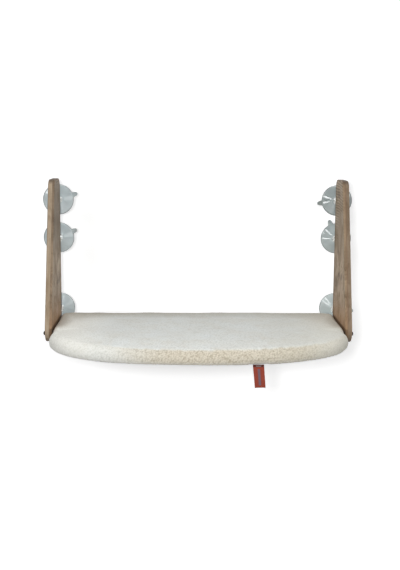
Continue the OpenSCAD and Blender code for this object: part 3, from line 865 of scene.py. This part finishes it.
def edge_profile(roll_steps, hem_steps):
    """Inset and level of the bed's edge from its top edge down: a quarter ellipse out to the widest
    level, then a smaller one in to the underside."""
    a = np.linspace(0, math.pi / 2, roll_steps + 1)[1:]
    b = np.linspace(0, math.pi / 2, hem_steps + 1)[1:]
    roll = spread(ROLL_W * (1 - np.sin(a)), WIDEST_Z * (1 - np.cos(a)))
    hem = spread(HEM_W * (1 - np.cos(b)), WIDEST_Z - (BED_T + WIDEST_Z) * np.sin(b))
    return np.concatenate([roll, hem])


def bed_skin(across, along, roll_steps, hem_steps, inside):
    """Points and faces of a closed bed: a crowned net on top, rings round its edge, then the inside
    rings given as inset and level, closed by a point in the middle. Also the size of each part."""
    sides = outline_sides(across, along)
    top = net_inside(*[drawn_in(side, ROLL_W) for side in sides])
    u, v = np.linspace(-1, 1, across + 1)[None, :], np.linspace(-1, 1, along + 1)[:, None]
    crown = CROWN_H * (1 - u ** 2) * (1 - v ** 2)
    net = np.concatenate([top, crown[..., None]], axis=-1).reshape(-1, 3)
    line = around(*sides)
    profile = np.concatenate([edge_profile(roll_steps, hem_steps), inside])
    rings = np.stack([spread(*drawn_in(line, inset).T, level) for inset, level in profile])
    count, n = len(line), len(net)
    inner, outer = rim_indices(across, along), n + np.arange(count)
    join = spread(inner, np.roll(inner, -1), np.roll(outer, -1), outer)
    walls = grid_faces(len(profile), count, n, close_columns=True)
    middle = n + len(profile) * count
    last = n + (len(profile) - 1) * count + np.arange(count)
    closing = spread(last, np.roll(last, -1), middle)
    points = np.concatenate([net, rings.reshape(-1, 3), [[0, BED_MID_Y, profile[-1][1]]]])
    quads = np.concatenate([grid_faces(along + 1, across + 1)[:, ::-1], join, walls])
    return points, quads.tolist() + closing.tolist(), (n, len(profile), count)


# --- fleece cover

NET_ACROSS, NET_ALONG = 440, 270
FINER = 5
ROLL_RINGS, HEM_RINGS = 24, 9
PROFILE_FINER = 3
INSIDE_RINGS = np.array([[COVER_WALL, -BED_T], [COVER_WALL, -COVER_T - CAVITY_BEVEL],
                         [COVER_WALL + CAVITY_BEVEL, -COVER_T], [0.05, -COVER_T], [0.10, -COVER_T]])
PUFF_PRESSURE = 4
PUFF_FRAMES = 20
PUFF_TOP = 0.0035
PUFF_ROUNDS = 8
PUFF_HELD_H = 0.0012
SUNK_SHARE = 0.25
FRONT_SLOPE, FRONT_SLOPE_W = 0.0035, 0.055
BULGE = 0.0026
FULLER_ROLL = 3.6
BACK_LIFT = 0.0028
TUFT_CELL = 0.0028
TUFT_FINE_CELL = 0.0020
TUFT_H, TUFT_SINK = 0.0015, 0.0005
COVER_HILLS = ((0.0007, 0.085, 7), (0.0004, 0.032, 8))
LABEL_DENT = 0.0009
BOARD_CLEAR = 0.0002


def blend_weights(coarse, finer, closed):
    """Weights that carry values at coarse steps to finer steps with a smooth cubic curve through them."""
    fine = coarse * finer if closed else (coarse - 1) * finer + 1
    at = np.arange(fine) / finer
    start = np.minimum(np.floor(at).astype(int), coarse - 1 if closed else coarse - 2)
    t = at - start
    cubic = np.stack([-0.5 * t + t ** 2 - 0.5 * t ** 3, 1 - 2.5 * t ** 2 + 1.5 * t ** 3,
                      0.5 * t + 2 * t ** 2 - 1.5 * t ** 3, -0.5 * t ** 2 + 0.5 * t ** 3], axis=1)
    weights = np.zeros((fine, coarse))
    for k in range(4):
        index = start + k - 1
        index = index % coarse if closed else np.clip(index, 0, coarse - 1)
        np.add.at(weights, (np.arange(fine), index), cubic[:, k])
    return weights


def normals_of(piece):
    """The piece's point normals."""
    normals = np.zeros(len(piece.data.vertices) * 3, np.float32)
    piece.data.vertex_normals.foreach_get("vector", normals)
    return normals.reshape(-1, 3).astype(float)


def evened(values, faces, rounds):
    """One number for each point of a skin, evened out: each round takes the mean of a point's own number
    and its neighbours' mean."""
    pairs = np.array([pair for face in faces for pair in zip(face, face[1:] + face[:1])])
    pairs = np.concatenate([pairs, pairs[:, ::-1]])
    near = np.bincount(pairs[:, 0], minlength=len(values))
    for _ in range(rounds):
        total = np.bincount(pairs[:, 0], weights=values[pairs[:, 1]], minlength=len(values))
        values = (values + total / near) / 2
    return values


def puffed(points, faces, held):
    """How far each point of a closed skin rises along its normal when it is blown up as cloth, with the
    held points fixed. The rise is scaled to a set height, and what moves inward moves a quarter of that."""
    pillow = new_mesh("puffing_skin", points, faces)
    normals = normals_of(pillow)
    group = pillow.vertex_groups.new(name="held")
    group.add(np.flatnonzero(held).tolist(), 1.0, "REPLACE")
    cloth = pillow.modifiers.new("cloth", "CLOTH")
    cloth.settings.quality = 6
    cloth.settings.vertex_group_mass = "held"
    cloth.settings.use_pressure = True
    cloth.settings.uniform_pressure_force = PUFF_PRESSURE
    cloth.settings.effector_weights.gravity = 0
    cloth.settings.bending_stiffness = 1.0
    for number in range(1, PUFF_FRAMES + 1):
        scene.frame_set(number)
    shape = pillow.evaluated_get(bpy.context.evaluated_depsgraph_get())
    after = np.zeros(len(points) * 3)
    shape.data.vertices.foreach_get("co", after)
    scene.frame_set(1)
    bpy.data.objects.remove(pillow)
    rise = evened(((after.reshape(-1, 3) - points) * normals).sum(axis=1), faces, PUFF_ROUNDS)
    return np.where(rise > 0, rise, SUNK_SHARE * rise) * PUFF_TOP / rise.max()


def puff_of_cover(net_size, rings, count):
    """The rise of a coarse skin, carried to the fine cover's net and edge rings."""
    across, along = NET_ACROSS // FINER, NET_ALONG // FINER
    points, faces, (n, _, coarse_count) = bed_skin(
        across, along, ROLL_RINGS // PROFILE_FINER, HEM_RINGS // PROFILE_FINER,
        np.array([[0.03, -BED_T], [0.07, -BED_T], [0.11, -BED_T]]))
    rise = puffed(points, faces, points[:, 2] < -BED_T + PUFF_HELD_H)
    down, over = blend_weights(along + 1, FINER, False), blend_weights(across + 1, FINER, False)
    fine_net = (down @ rise[:n].reshape(along + 1, across + 1) @ over.T).ravel()
    edge_rings = (ROLL_RINGS + HEM_RINGS) // PROFILE_FINER
    edge = np.concatenate([rise[rim_indices(across, along)], rise[n:n + edge_rings * coarse_count]])
    down, over = blend_weights(edge_rings + 1, PROFILE_FINER, False), blend_weights(coarse_count, FINER, True)
    fine_edge = (down @ edge.reshape(edge_rings + 1, coarse_count) @ over.T)[1:].ravel()
    rest = net_size + rings * count + 1 - len(fine_net) - len(fine_edge)
    return np.concatenate([fine_net, fine_edge, np.zeros(rest)])


def fuller_beside_boards(points, share):
    """Between the boards the roll is pressed square: its sideways ellipse goes over to a fuller power
    curve of the same width and height, by the given share."""
    x, _, z = points.T
    depth = np.clip(z / WIDEST_Z, 0, 1)
    inset = BED_HALF_W - np.abs(x)
    fuller = ROLL_W * (1 - (1 - (1 - depth) ** FULLER_ROLL) ** (1 / FULLER_ROLL))
    rounded = ROLL_W * (1 - np.sqrt(np.clip(1 - (1 - depth) ** 2, 0, 1)))
    on_roll = (z < 0.0) & (z > WIDEST_Z) & (inset < ROLL_W)
    pushed = np.where(on_roll, np.minimum(rounded - fuller, inset) * share, 0)
    return points + spread(np.sign(x) * pushed, 0.0, 0.0)


def drop_to_front(points):
    """About how far each point lies from the bed's front edge, and far where the bed has straight sides."""
    x, y = np.abs(points[:, 0]), points[:, 1]
    share = np.clip(x / BED_HALF_W, 0, 1)
    front = BED_SIDE_Y - BED_BULGE * np.clip(1 - share ** FRONT_POWER, 0, 1) ** (1 / FRONT_POWER)
    inward = np.clip(y - front, 0, None)
    side = np.clip(BED_HALF_W - x + np.clip(y - BED_SIDE_Y, 0, None), 0, None)
    nearest = 1 / (1 / (inward + 1e-4) ** 2 + 1 / (side + 1e-4) ** 2) ** 0.5
    return nearest + 2 * np.clip(y - BED_SIDE_Y + 0.010, 0, None)


def make_fleece_cover():
    """The fleece hood over the whole bed: the bed's skin, puffed as cloth, then raised along its normals
    into rounded tufts, tall on the front and pressed flat on the top and against the boards."""
    points, faces, (net_size, rings, count) = bed_skin(
        NET_ACROSS, NET_ALONG, ROLL_RINGS, HEM_RINGS, INSIDE_RINGS)
    x, y, z = points.T
    to_side = BED_HALF_W - np.abs(x)
    between = smooth_step(y, BED_SIDE_Y - 0.006, BED_SIDE_Y + 0.020)
    outside = np.arange(len(points)) < net_size + (ROLL_RINGS + HEM_RINGS) * count
    points = fuller_beside_boards(points, between * outside)
    cover = new_mesh("fleece_cover", points, faces)
    normals = normals_of(cover)
    beside_board = (1 - smooth_step(to_side, 0.004, 0.018)) * between
    at_label = ((1 - smooth_step(np.abs(x - LABEL_X), 0.012, 0.020)) * smooth_step(-z, 0.0225, 0.0255)
                * smooth_step(-y, 0.28, 0.30))
    held_in = np.maximum(beside_board, at_label)
    points = points + normals * (puff_of_cover(net_size, rings, count) * (1 - held_in))[:, None]
    move_points(cover, points)
    normals = normals_of(cover)
    x, y, z = points.T
    on_top = smooth_step(normals[:, 2], 0.55, 0.99)
    tuft = 1 - smooth_step(tuft_distance(points, TUFT_CELL, 3), 0.0, 0.95)
    small = 1 - smooth_step(tuft_distance(points, TUFT_FINE_CELL, 11), 0.0, 1.0)
    pressed = 0.5 + 0.5 * soft_waves(points, 0.045, 5)
    tall = (1.05 - 0.60 * on_top) * (0.70 + 0.55 * pressed) * (1 - 0.85 * beside_board)
    pile = 0.6 * tuft + 0.4 * small
    rise = (TUFT_H * pile - TUFT_SINK) * tall - TUFT_SINK * beside_board
    hills = laid_waves(points, *COVER_HILLS) * (1 - beside_board)
    rise, hills = rise * (1 - at_label) - LABEL_DENT * at_label, hills * (1 - at_label)
    free_side = smooth_step(-y, 0.189, 0.203) * (1 - smooth_step(-y, 0.206, 0.245))
    bulge = BULGE * free_side * (1 - smooth_step(to_side, 0.010, 0.030)) * np.sign(x) * outside
    new = points + normals * ((rise + hills) * outside)[:, None]
    new[:, 0] += bulge
    to_front = drop_to_front(points)
    upper = smooth_step(z, WIDEST_Z, 0.0)
    new[:, 2] -= FRONT_SLOPE * (1 - smooth_step(to_front, 0.0, FRONT_SLOPE_W)) * upper
    at_back = smooth_step(y, BED_BACK_Y - 0.060, BED_BACK_Y - 0.016)
    new[:, 2] += BACK_LIFT * at_back * upper * outside
    limit = np.where(new[:, 1] > BED_SIDE_Y - 0.0085, BOARD_IN_X - BOARD_CLEAR, 1.0)
    new[:, 0] = np.clip(new[:, 0], -limit, limit)
    new[:, 1] = np.minimum(new[:, 1], BOARD_BACK_Y - BOARD_CLEAR)
    # Painted shade along the boards and towards the back edge, kept as "shade" for the material.
    painted_shade_by_boards = (1 - smooth_step(to_side, 0.0, 0.036)) * smooth_step(y, -0.20, -0.15)
    shade = np.maximum(0.9 * smooth_step(y, BED_BACK_Y - 0.085, BED_BACK_Y), painted_shade_by_boards)
    move_points(cover, new)
    add_values(cover, "pile", pile * outside)
    # How far each point faces up, a little unevenly: the share of the painted lit top tone, kept as
    # "pressed".
    lit_top = smooth_step(normals[:, 2] + 0.09 * soft_waves(points, 0.009, 9), 0.66, 1.02)
    add_values(cover, "pressed", lit_top * (0.75 + 0.25 * pressed))
    add_values(cover, "shade", shade * outside)
    finish_piece(cover, "perch", "fleece", fleece_material(), "fleece_cover")


def fleece_material():
    """Cream sherpa with much of its light and shade painted: warm tufts with painted shade in the hollows
    between them, a paler, cooler painted lit tone where the top faces up and is pressed flat and over the
    left end, paler painted ends and hem, a darker painted tone towards the right, and painted shade along the
    boards and the back edge."""
    material, tree, surface = new_material("fleece")
    place = object_place(tree)
    x, _, z = axes(place)
    pile, pressed, shade = (point_value(tree, name) for name in ("pile", "pressed", "shade"))
    fibre = noise(place, 1900.0, 3.0, 0.65, 0.6)
    broad = noise(place, 22.0, 3.0, 0.6)
    # Tufts' tops take the lighter tone and the hollows between them the darker: painted shade in the hollows.
    high = ramp(pile * 0.85 + fibre * 0.25, 0.10, 0.80)
    tufts = mix(high, linear(168, 157, 136), linear(222, 215, 199))
    top = mix(high, linear(221, 226, 223), linear(240, 244, 243))
    ends = mix(high, linear(234, 233, 223), linear(252, 251, 244))
    # Painted lit tone: the pale, cool top colour where the top faces up, and over the left end.
    flat = larger(pressed, ramp(x, -0.04, -0.20, 0.0, 0.75))
    painted_light_at_ends = larger(ramp(x, -0.14, -0.235, 0.0, 0.76), ramp(x, 0.16, 0.245, 0.0, 0.60))
    painted_shade = shade * ramp(x, -0.15, 0.15, 0.80, 0.58)
    # Painted light at both ends and along the hem, a painted darker tone towards the right and painted shade
    # by the boards and the back; the broad blotches are the fleece's own uneven tone.
    colour = painted(
        tufts, (flat, top), (ramp(broad, 0.38, 0.72, 0.0, 0.16), linear(206, 197, 176)),
        (ramp(z, -0.0235, -0.0295, 0.0, 0.45), linear(228, 226, 220)), (painted_light_at_ends, ends),
        (ramp(x, 0.06, 0.25, 0.0, 0.30), linear(208, 205, 188)), (painted_shade, linear(142, 127, 104)))
    set_sockets(surface, Base_Color=colour, Roughness=0.92, Specular_IOR_Level=0.15, Sheen_Weight=0.12,
                Sheen_Roughness=0.6, Sheen_Tint=(1, 0.98, 0.95, 1), Normal=bump(fibre, 0.0005, 0.5))
    return material


# --- foam under the fleece

RAIL_IN_X = 0.2396
RAIL_FRONT_Y, RAIL_BACK_Y = -0.1843, -0.0537
DECK_TOP_Z = -0.019
FOAM_TOP_Z = -0.0043
FOAM_IN = 0.0073
FOAM_HALF_W = 0.26
FOAM_BEVEL = 0.0040
FOAM_PITS = 0.0004
FOAM_DROP = 0.0012
NOTCH = 1e-5


def half_width_at(y, inset):
    """Half the bed's width at each depth, drawn in by an inset: the back corners' circle, the straight
    sides and the front's power curve."""
    share_y = (y - BED_MID_Y) / (1 - inset / BED_HALF_D) + BED_MID_Y
    from_back = np.clip((BED_BACK_Y - share_y) / BED_BACK_R, 0, 1)
    corner = BED_BACK_R * (1 - np.sqrt(np.clip(1 - (1 - from_back) ** 2, 0, 1)))
    front = np.clip((BED_SIDE_Y - share_y) / BED_BULGE, 0, 1)
    width = (BED_HALF_W - corner) * np.clip(1 - front ** FRONT_POWER, 0, 1) ** (1 / FRONT_POWER)
    return width * (1 - inset / BED_HALF_W)


def rows_of_bed(inset, extra=()):
    """Depths from the back edge to the front one, closer together at both ends, with extra ones where
    asked."""
    back, side, front = (BED_MID_Y + (y - BED_MID_Y) * (1 - inset / BED_HALF_D)
                         for y in (BED_BACK_Y, BED_SIDE_Y, BED_FRONT_Y))
    corner = back - BED_BACK_R * (1 - np.cos(np.linspace(0, math.pi / 2, 9)))
    middle = np.linspace(back - BED_BACK_R, side, 36)
    turn = np.linspace(0, math.pi / 2, 70)
    curve = side - (side - front) * np.sin(turn) ** (2 / FRONT_POWER)
    rows = np.unique(np.round(np.concatenate([corner, middle, curve, list(extra)]), 7))[::-1]
    return np.clip(rows, front + 1e-6, back - 1e-6)


def foam_material():
    """Open-celled foam."""
    material, tree, surface = new_material("foam")
    cell = result(tree, "ShaderNodeTexVoronoi", {"Vector": object_place(tree), "Scale": 700.0}, "Distance")
    colour = mix(ramp(cell, 0.1, 0.6), linear(196, 184, 140), linear(240, 232, 200))
    set_sockets(surface, Base_Color=colour, Roughness=0.95, Specular_IOR_Level=0.1,
                Normal=bump(cell, 0.0006, 0.8))
    return material


def make_foam():
    """The foam round the rails: closed cross sections, row by row from back to front. Each has a level
    bottom, upright sides that step in beside the rails, and a bevelled, faintly pitted top."""
    rows = rows_of_bed(FOAM_IN, [y + step for y in (RAIL_FRONT_Y, RAIL_BACK_Y) for step in (-NOTCH, NOTCH)])
    width = half_width_at(rows, FOAM_IN)
    beside = (rows > RAIL_FRONT_Y) & (rows < RAIL_BACK_Y)
    width = np.where(beside, np.minimum(width, RAIL_IN_X), width)
    bevel = np.where(beside, 1e-4, np.minimum(FOAM_BEVEL, width * 0.4))
    across = np.linspace(-1, 1, 61)
    pits = soft_waves(spread(rows[:, None], across[None] * FOAM_HALF_W, 0.0).reshape(-1, 3), 0.02, 21)
    level = FOAM_TOP_Z - FOAM_PITS * (1 + pits).reshape(len(rows), -1)
    to_end = np.minimum(rows[0] - rows, rows - rows[-1])[:, None]
    level = level - np.clip(FOAM_BEVEL - to_end, 0, FOAM_BEVEL)
    places = spread(across[None] * (width - bevel)[:, None], rows[:, None])
    to_front = drop_to_front(places.reshape(-1, 2)).reshape(level.shape)
    level -= (FRONT_SLOPE + FOAM_DROP) * (1 - smooth_step(to_front, 0.0, FRONT_SLOPE_W + 0.012))
    top = np.concatenate([places, level[..., None]], axis=-1)
    corner_z = FOAM_TOP_Z - FOAM_BEVEL
    sides = [spread(side * width, rows, z)[:, None] for side, z in (
        (RIGHT, corner_z), (RIGHT, DECK_TOP_Z), (LEFT, DECK_TOP_Z), (LEFT, corner_z))]
    loop = np.concatenate([top, *sides], axis=1)
    count = loop.shape[1]
    quads = grid_faces(len(rows), count, close_columns=True)
    caps = [list(range(count)), list(range(len(rows) * count - 1, (len(rows) - 1) * count - 1, -1))]
    foam = new_mesh("foam_pad", loop, quads.tolist() + caps, smooth=False)
    finish_piece(foam, "perch", "foam", foam_material(), "foam_pad")


# --- underside and zip

PANEL_IN = 0.0073
PANEL_T = 0.0010
PANEL_Z = -0.0290
PANEL_FOLDS = ((0.00045, 0.06, 31), (0.00025, 0.022, 32))
ZIP_Y = -0.0698
ZIP_HALF_L = 0.210
SLOT_HALF_W = 0.00555
TAPE_W = 0.0130
TAPE_T = 0.0006
TAPE_PAST_TEETH = 0.003
TAPE_WAVE = 0.00008
SLIT_W = 0.0014
TEETH_W = 0.0022
TEETH_H = 0.0018
TOOTH_PITCH = 0.0014
TOOTH_SIDES, TOOTH_STEPS = 10, 4
TOOTH_WAIST, TOOTH_ROUND = 0.62, 0.6
STITCH_STEP, STITCH_L, STITCH_T = 0.0042, 0.0030, 0.0009
RIM_SEAM_IN, TAPE_SEAM_OUT = 0.0045, 0.0085
TEETH_MID_Z = float(sum(corner[2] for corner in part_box("zip_teeth")) / 2)


def flat_place(tree):
    """The point on a piece's own UV map, which is in metres."""
    return result(tree, "ShaderNodeUVMap", uv_map="cloth")


def cloth_material(name, colour, threads):
    """Woven cloth of one colour, with the given threads to the metre."""
    material, tree, surface = new_material(name)
    cloth = use_group(CLOTH, Vector=flat_place(tree), Threads=threads, Colour=colour, Depth=0.35)
    set_sockets(surface, Base_Color=cloth["Color"], Roughness=0.86, Specular_IOR_Level=0.2, Sheen_Weight=0.15,
                Sheen_Roughness=0.5, Normal=bump(cloth["Height"], 0.0004, 0.8))
    return material


def cloth_sheet(name, places, faces, flat, thickness):
    """A sheet as thick as given, half to each side, with a UV map that holds the flat place of each point."""
    piece = new_mesh(name, places, faces.tolist())
    corner_points = np.zeros(len(piece.data.loops), np.int32)
    piece.data.loops.foreach_get("vertex_index", corner_points)
    layer = piece.data.uv_layers.new(name="cloth")
    layer.data.foreach_set("uv", np.asarray(flat, np.float32)[corner_points].ravel())
    thick = piece.modifiers.new("thickness", "SOLIDIFY")
    thick.thickness, thick.offset = thickness, 0
    return piece


def make_base_panel():
    """The fabric panel under the bed, row by row with a slot for the zip. It dips a little in soft folds,
    which die away at its rim and beside the zip."""
    slot = (ZIP_Y - SLOT_HALF_W, ZIP_Y + SLOT_HALF_W)
    rows = rows_of_bed(PANEL_IN, slot)
    width = half_width_at(rows, PANEL_IN)
    wide, deep = width.max(), float(rows[0] - rows[-1])
    share = ZIP_HALF_L / wide
    columns = np.unique(np.round(np.concatenate([
        np.linspace(-1, -share, 9), np.linspace(-share, share, 71), np.linspace(share, 1, 9)]), 6))
    places = spread(columns[None] * width[:, None], rows[:, None], 0.0).reshape(-1, 3)
    to_rim = np.minimum(width[:, None] * (1 - np.abs(columns))[None],
                        np.minimum(rows[0] - rows, rows - rows[-1])[:, None]).reshape(-1)
    near_zip = 1 - smooth_step(np.abs(places[:, 1] - ZIP_Y), 0.016, 0.040)
    drawn_up = smooth_step(to_rim, 0.0, 0.030) * (1 - near_zip)
    places[:, 2] = PANEL_Z + laid_waves(places, *PANEL_FOLDS) * drawn_up
    faces = grid_faces(len(rows), len(columns))
    centre = places[faces].mean(axis=1)
    in_slot = (centre[:, 1] > slot[0]) & (centre[:, 1] < slot[1]) & (np.abs(centre[:, 0]) < ZIP_HALF_L)
    panel = cloth_sheet("base_panel", places, faces[~in_slot], places[:, :2], PANEL_T)
    area = float((np.diff(-rows) * (width[1:] + width[:-1])).sum())
    2 * wide
    min(area, 2 * wide * deep)
    material = cloth_material("base_fabric", linear(150, 146, 138), 1400.0)
    finish_piece(panel, "perch", "base_fabric", material, "base_panel")


def make_zip_tapes():
    """Two woven tapes side by side, each a flat strip, softly waved away from its inner edge."""
    half_l = ZIP_HALF_L + TAPE_PAST_TEETH
    x = np.linspace(-half_l, half_l, 170)
    across = np.array([0.0, 0.0006, 0.0012, 0.003, 0.006, 0.009, 0.0118, TAPE_W])
    grids, faces = [], []
    for side in (LEFT, RIGHT):
        wave = TAPE_WAVE * np.sin(x[:, None] * 160 + side) * smooth_step(across, 0.004, 0.012)[None]
        y = ZIP_Y + side * (SLIT_W / 2 + across)
        found = grid_faces(len(x), len(across), start=len(grids) * len(x) * len(across))
        faces.append(found[:, ::-side])
        grids.append(spread(x[:, None], y[None], -BED_T - TAPE_T / 2 - wave))
    places = np.concatenate(grids).reshape(-1, 3)
    tapes = cloth_sheet("zip_tapes", places, np.concatenate(faces), places[:, :2], TAPE_T * 0.9)
    material = cloth_material("zip_tape", linear(206, 201, 188), 2600.0)
    finish_piece(tapes, "perch", "zip_tape", material, "zip_tapes")


def make_zip_teeth():
    """The closed chain of teeth: a bar with rounded corners whose width and height swell at each tooth by
    the size of a cosine along x."""
    steps = int(round(2 * ZIP_HALF_L / TOOTH_PITCH)) * TOOTH_STEPS
    x = np.linspace(-ZIP_HALF_L, ZIP_HALF_L, steps + 1)[:, None]
    wave = np.abs(np.cos(np.arange(steps + 1) * math.pi / TOOTH_STEPS))[:, None]
    swell = TOOTH_WAIST + (1 - TOOTH_WAIST) * wave
    turn = (np.arange(TOOTH_SIDES) + 0.5) / TOOTH_SIDES * 2 * math.pi
    across, down = (np.sign(way) * np.abs(way) ** TOOTH_ROUND * size / 2
                    for way, size in ((np.cos(turn), TEETH_W), (np.sin(turn), TEETH_H)))
    points = spread(x, ZIP_Y + across * swell, TEETH_MID_Z + down * swell)
    faces = grid_faces(steps + 1, TOOTH_SIDES, close_columns=True).tolist()
    end = np.arange(TOOTH_SIDES)
    faces += [end[::-1].tolist(), (steps * TOOTH_SIDES + end).tolist()]
    teeth = new_mesh("zip_teeth", points, [face[::-1] for face in faces])
    nylon = metal_material("zip_nylon", linear(214, 209, 196), linear(190, 184, 170), 0.35, 0.55, 0.0)
    finish_piece(teeth, "perch", "zip_nylon", nylon, "zip_teeth")


def stitch_line(line, level):
    """Points and faces of a run of stitches along a line: each one a flattened bead of six-sided rings,
    thin at both ends, laid along the line at even steps."""
    far = np.arange(STITCH_STEP / 2, far_along(line)[-1] - STITCH_STEP / 2, STITCH_STEP)
    place = points_at(line, far)
    ahead = points_at(line, far + 0.0005) - place
    ahead /= np.linalg.norm(ahead, axis=1)[:, None]
    aside = spread(-ahead[:, 1], ahead[:, 0])
    share = np.array([-0.5, -0.36, 0.0, 0.36, 0.5])
    size = np.array([0.30, 0.85, 1.0, 0.85, 0.30]) * STITCH_T / 2
    turn = np.arange(6) / 6 * 2 * math.pi
    flat = (place[:, None, None] + ahead[:, None, None] * (share * STITCH_L)[None, :, None, None]
            + aside[:, None, None] * (size[:, None] * np.cos(turn)[None])[None, :, :, None])
    up = np.broadcast_to(level + 0.6 * size[:, None] * np.sin(turn)[None], flat.shape[:3])
    points = np.concatenate([flat, up[..., None]], axis=-1)
    starts = (np.arange(len(far)) * len(share) * len(turn))[:, None, None]
    quads = grid_faces(len(share), len(turn), close_columns=True) + starts
    ends = np.array([range(6)[::-1], range(24, 30)]) + starts
    faces = quads.reshape(-1, 4)[:, ::-1].tolist() + ends.reshape(-1, 6)[:, ::-1].tolist()
    return points.reshape(-1, 3), faces


def thread_material():
    """Sewing thread, paler on the crowns of its twist and darker between them: painted light and shade."""
    material, tree, surface = new_material("thread")
    twist = noise(object_place(tree), 2600.0)
    colour = mix(ramp(twist, 0.35, 0.65), linear(150, 144, 132), linear(206, 200, 188))
    set_sockets(surface, Base_Color=colour, Roughness=0.75, Normal=bump(twist, 0.0002, 0.6))
    return material


def make_base_stitches():
    """Thread stitches under the bed: one run along the panel's rim and one along each zip tape."""
    rim = drawn_in(around(*outline_sides(160, 90)), PANEL_IN + RIM_SEAM_IN)
    runs = [(np.concatenate([rim, rim[:1]]), PANEL_Z - PANEL_T / 2)]
    for side in (LEFT, RIGHT):
        y = ZIP_Y + side * (SLIT_W / 2 + TAPE_SEAM_OUT)
        runs.append((np.array([[-ZIP_HALF_L, y], [ZIP_HALF_L, y]]), -BED_T - TAPE_T))
    points, faces = [], []
    for line, level in runs:
        found, sides = stitch_line(line, level)
        start = sum(len(part) for part in points)
        points.append(found)
        faces += [[corner + start for corner in side] for side in sides]
    stitches = new_mesh("base_stitches", np.concatenate(points), faces)
    finish_piece(stitches, "perch", "base_fabric", thread_material())


# --- woven label

LABEL_W, LABEL_L, LABEL_T = 0.0190, 0.0400, 0.0008
LABEL_X, LABEL_Y, LABEL_TOP_Z = 0.097, -0.33488, -0.0307
LABEL_LEAN = math.radians(5)
LABEL_BOW, LABEL_CURL, LABEL_HOLLOW, LABEL_TWIST = 0.0014, 0.0012, 0.0010, 0.0004


def make_label():
    """A ribbon that hangs from the hem: a strip that leans a little, bows forward and curls at its foot."""
    down, over = np.linspace(0, 1, 41)[:, None], np.linspace(-0.5, 0.5, 21)[None, :]
    drop = down * LABEL_L
    x = over * LABEL_W * (1 - 0.05 * down) + math.tan(LABEL_LEAN) * drop
    y = LABEL_BOW * np.sin(down * 2.6) - LABEL_CURL * down ** 3 + LABEL_HOLLOW * down * (2 * over) ** 2
    z = -drop * math.cos(LABEL_LEAN) + LABEL_TWIST * over * down
    places = spread(LABEL_X + x, LABEL_Y - y, LABEL_TOP_Z + z).reshape(-1, 3)
    flat = spread(over * LABEL_W, -drop).reshape(-1, 2)
    label = cloth_sheet("woven_label", places, grid_faces(41, 21), flat, LABEL_T)
    finish_piece(label, "woven_label", "woven_label", label_material(), "woven_label")


def label_material():
    """Brick-red ribbon with a darker band along its top, a short woven bar on the band and a plain blue-grey
    stripe down its middle."""
    material, tree, surface = new_material("woven_label")
    place = flat_place(tree)
    x, y, _ = axes(place)
    band = ramp(y, -0.0048, -0.0038)
    bar = ramp(abs(x), 0.0048, 0.0040) * ramp(y, -0.0040, -0.0034) * ramp(y, -0.0014, -0.0020)
    stripe = ramp(abs(x), 0.0026, 0.0016) * ramp(y, -0.0072, -0.0078) * ramp(y, -0.0360, -0.0354)
    colour = painted(linear(163, 72, 54), (band * 0.85, linear(72, 34, 30)),
                     (bar * 0.7, linear(150, 146, 148)), (stripe * 0.8, linear(114, 110, 126)))
    cloth = use_group(CLOTH, Vector=place, Threads=3000.0, Colour=colour, Depth=0.25)
    set_sockets(surface, Base_Color=cloth["Color"], Roughness=0.7, Specular_IOR_Level=0.3, Sheen_Weight=0.2,
                Sheen_Roughness=0.4, Normal=bump(cloth["Height"], 0.0003, 0.7))
    return material


# --- CAD nodes that stay

def dress(material, *names):
    """Gives CAD nodes a material."""
    for name in names:
        node = NODES[name]
        node.data.materials.clear()
        node.data.materials.append(material)


def dress_cad_nodes():
    """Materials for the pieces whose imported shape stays."""
    dress(board_material(LEFT), "side_board_left")
    dress(board_material(RIGHT), "side_board_right")
    dress(plywood_material(), "deck_board", "side_rail_left", "side_rail_right")
    dress(metal_material("zinc_steel", linear(196, 198, 200), linear(150, 152, 156), 0.28, 0.45),
          "deck_screws", "zip_stops", "zip_slider", "zip_pull", "cup_studs")
    dress(metal_material("black_steel", linear(58, 58, 60), linear(34, 34, 36), 0.30, 0.50),
          "board_bolts", "bolt_washers")
    dress(metal_material("brass", linear(206, 172, 104), linear(160, 128, 70), 0.25, 0.45),
          "rail_inserts", "cup_inserts")
    dress(metal_material("spacer_nylon", linear(62, 52, 44), linear(48, 40, 34), 0.45, 0.6, metallic=0.0),
          "bolt_spacers")


# --- the scene

scene.view_settings.view_transform = "Standard"
make_camera()
make_stage()
make_light()
dress_cad_nodes()
for board_side, cup_level in itertools.product((LEFT, RIGHT), CUP_Z):
    make_cup(board_side, cup_level)
make_fleece_cover()
make_foam()
make_base_panel()
make_zip_tapes()
make_zip_teeth()
make_base_stitches()
make_label()
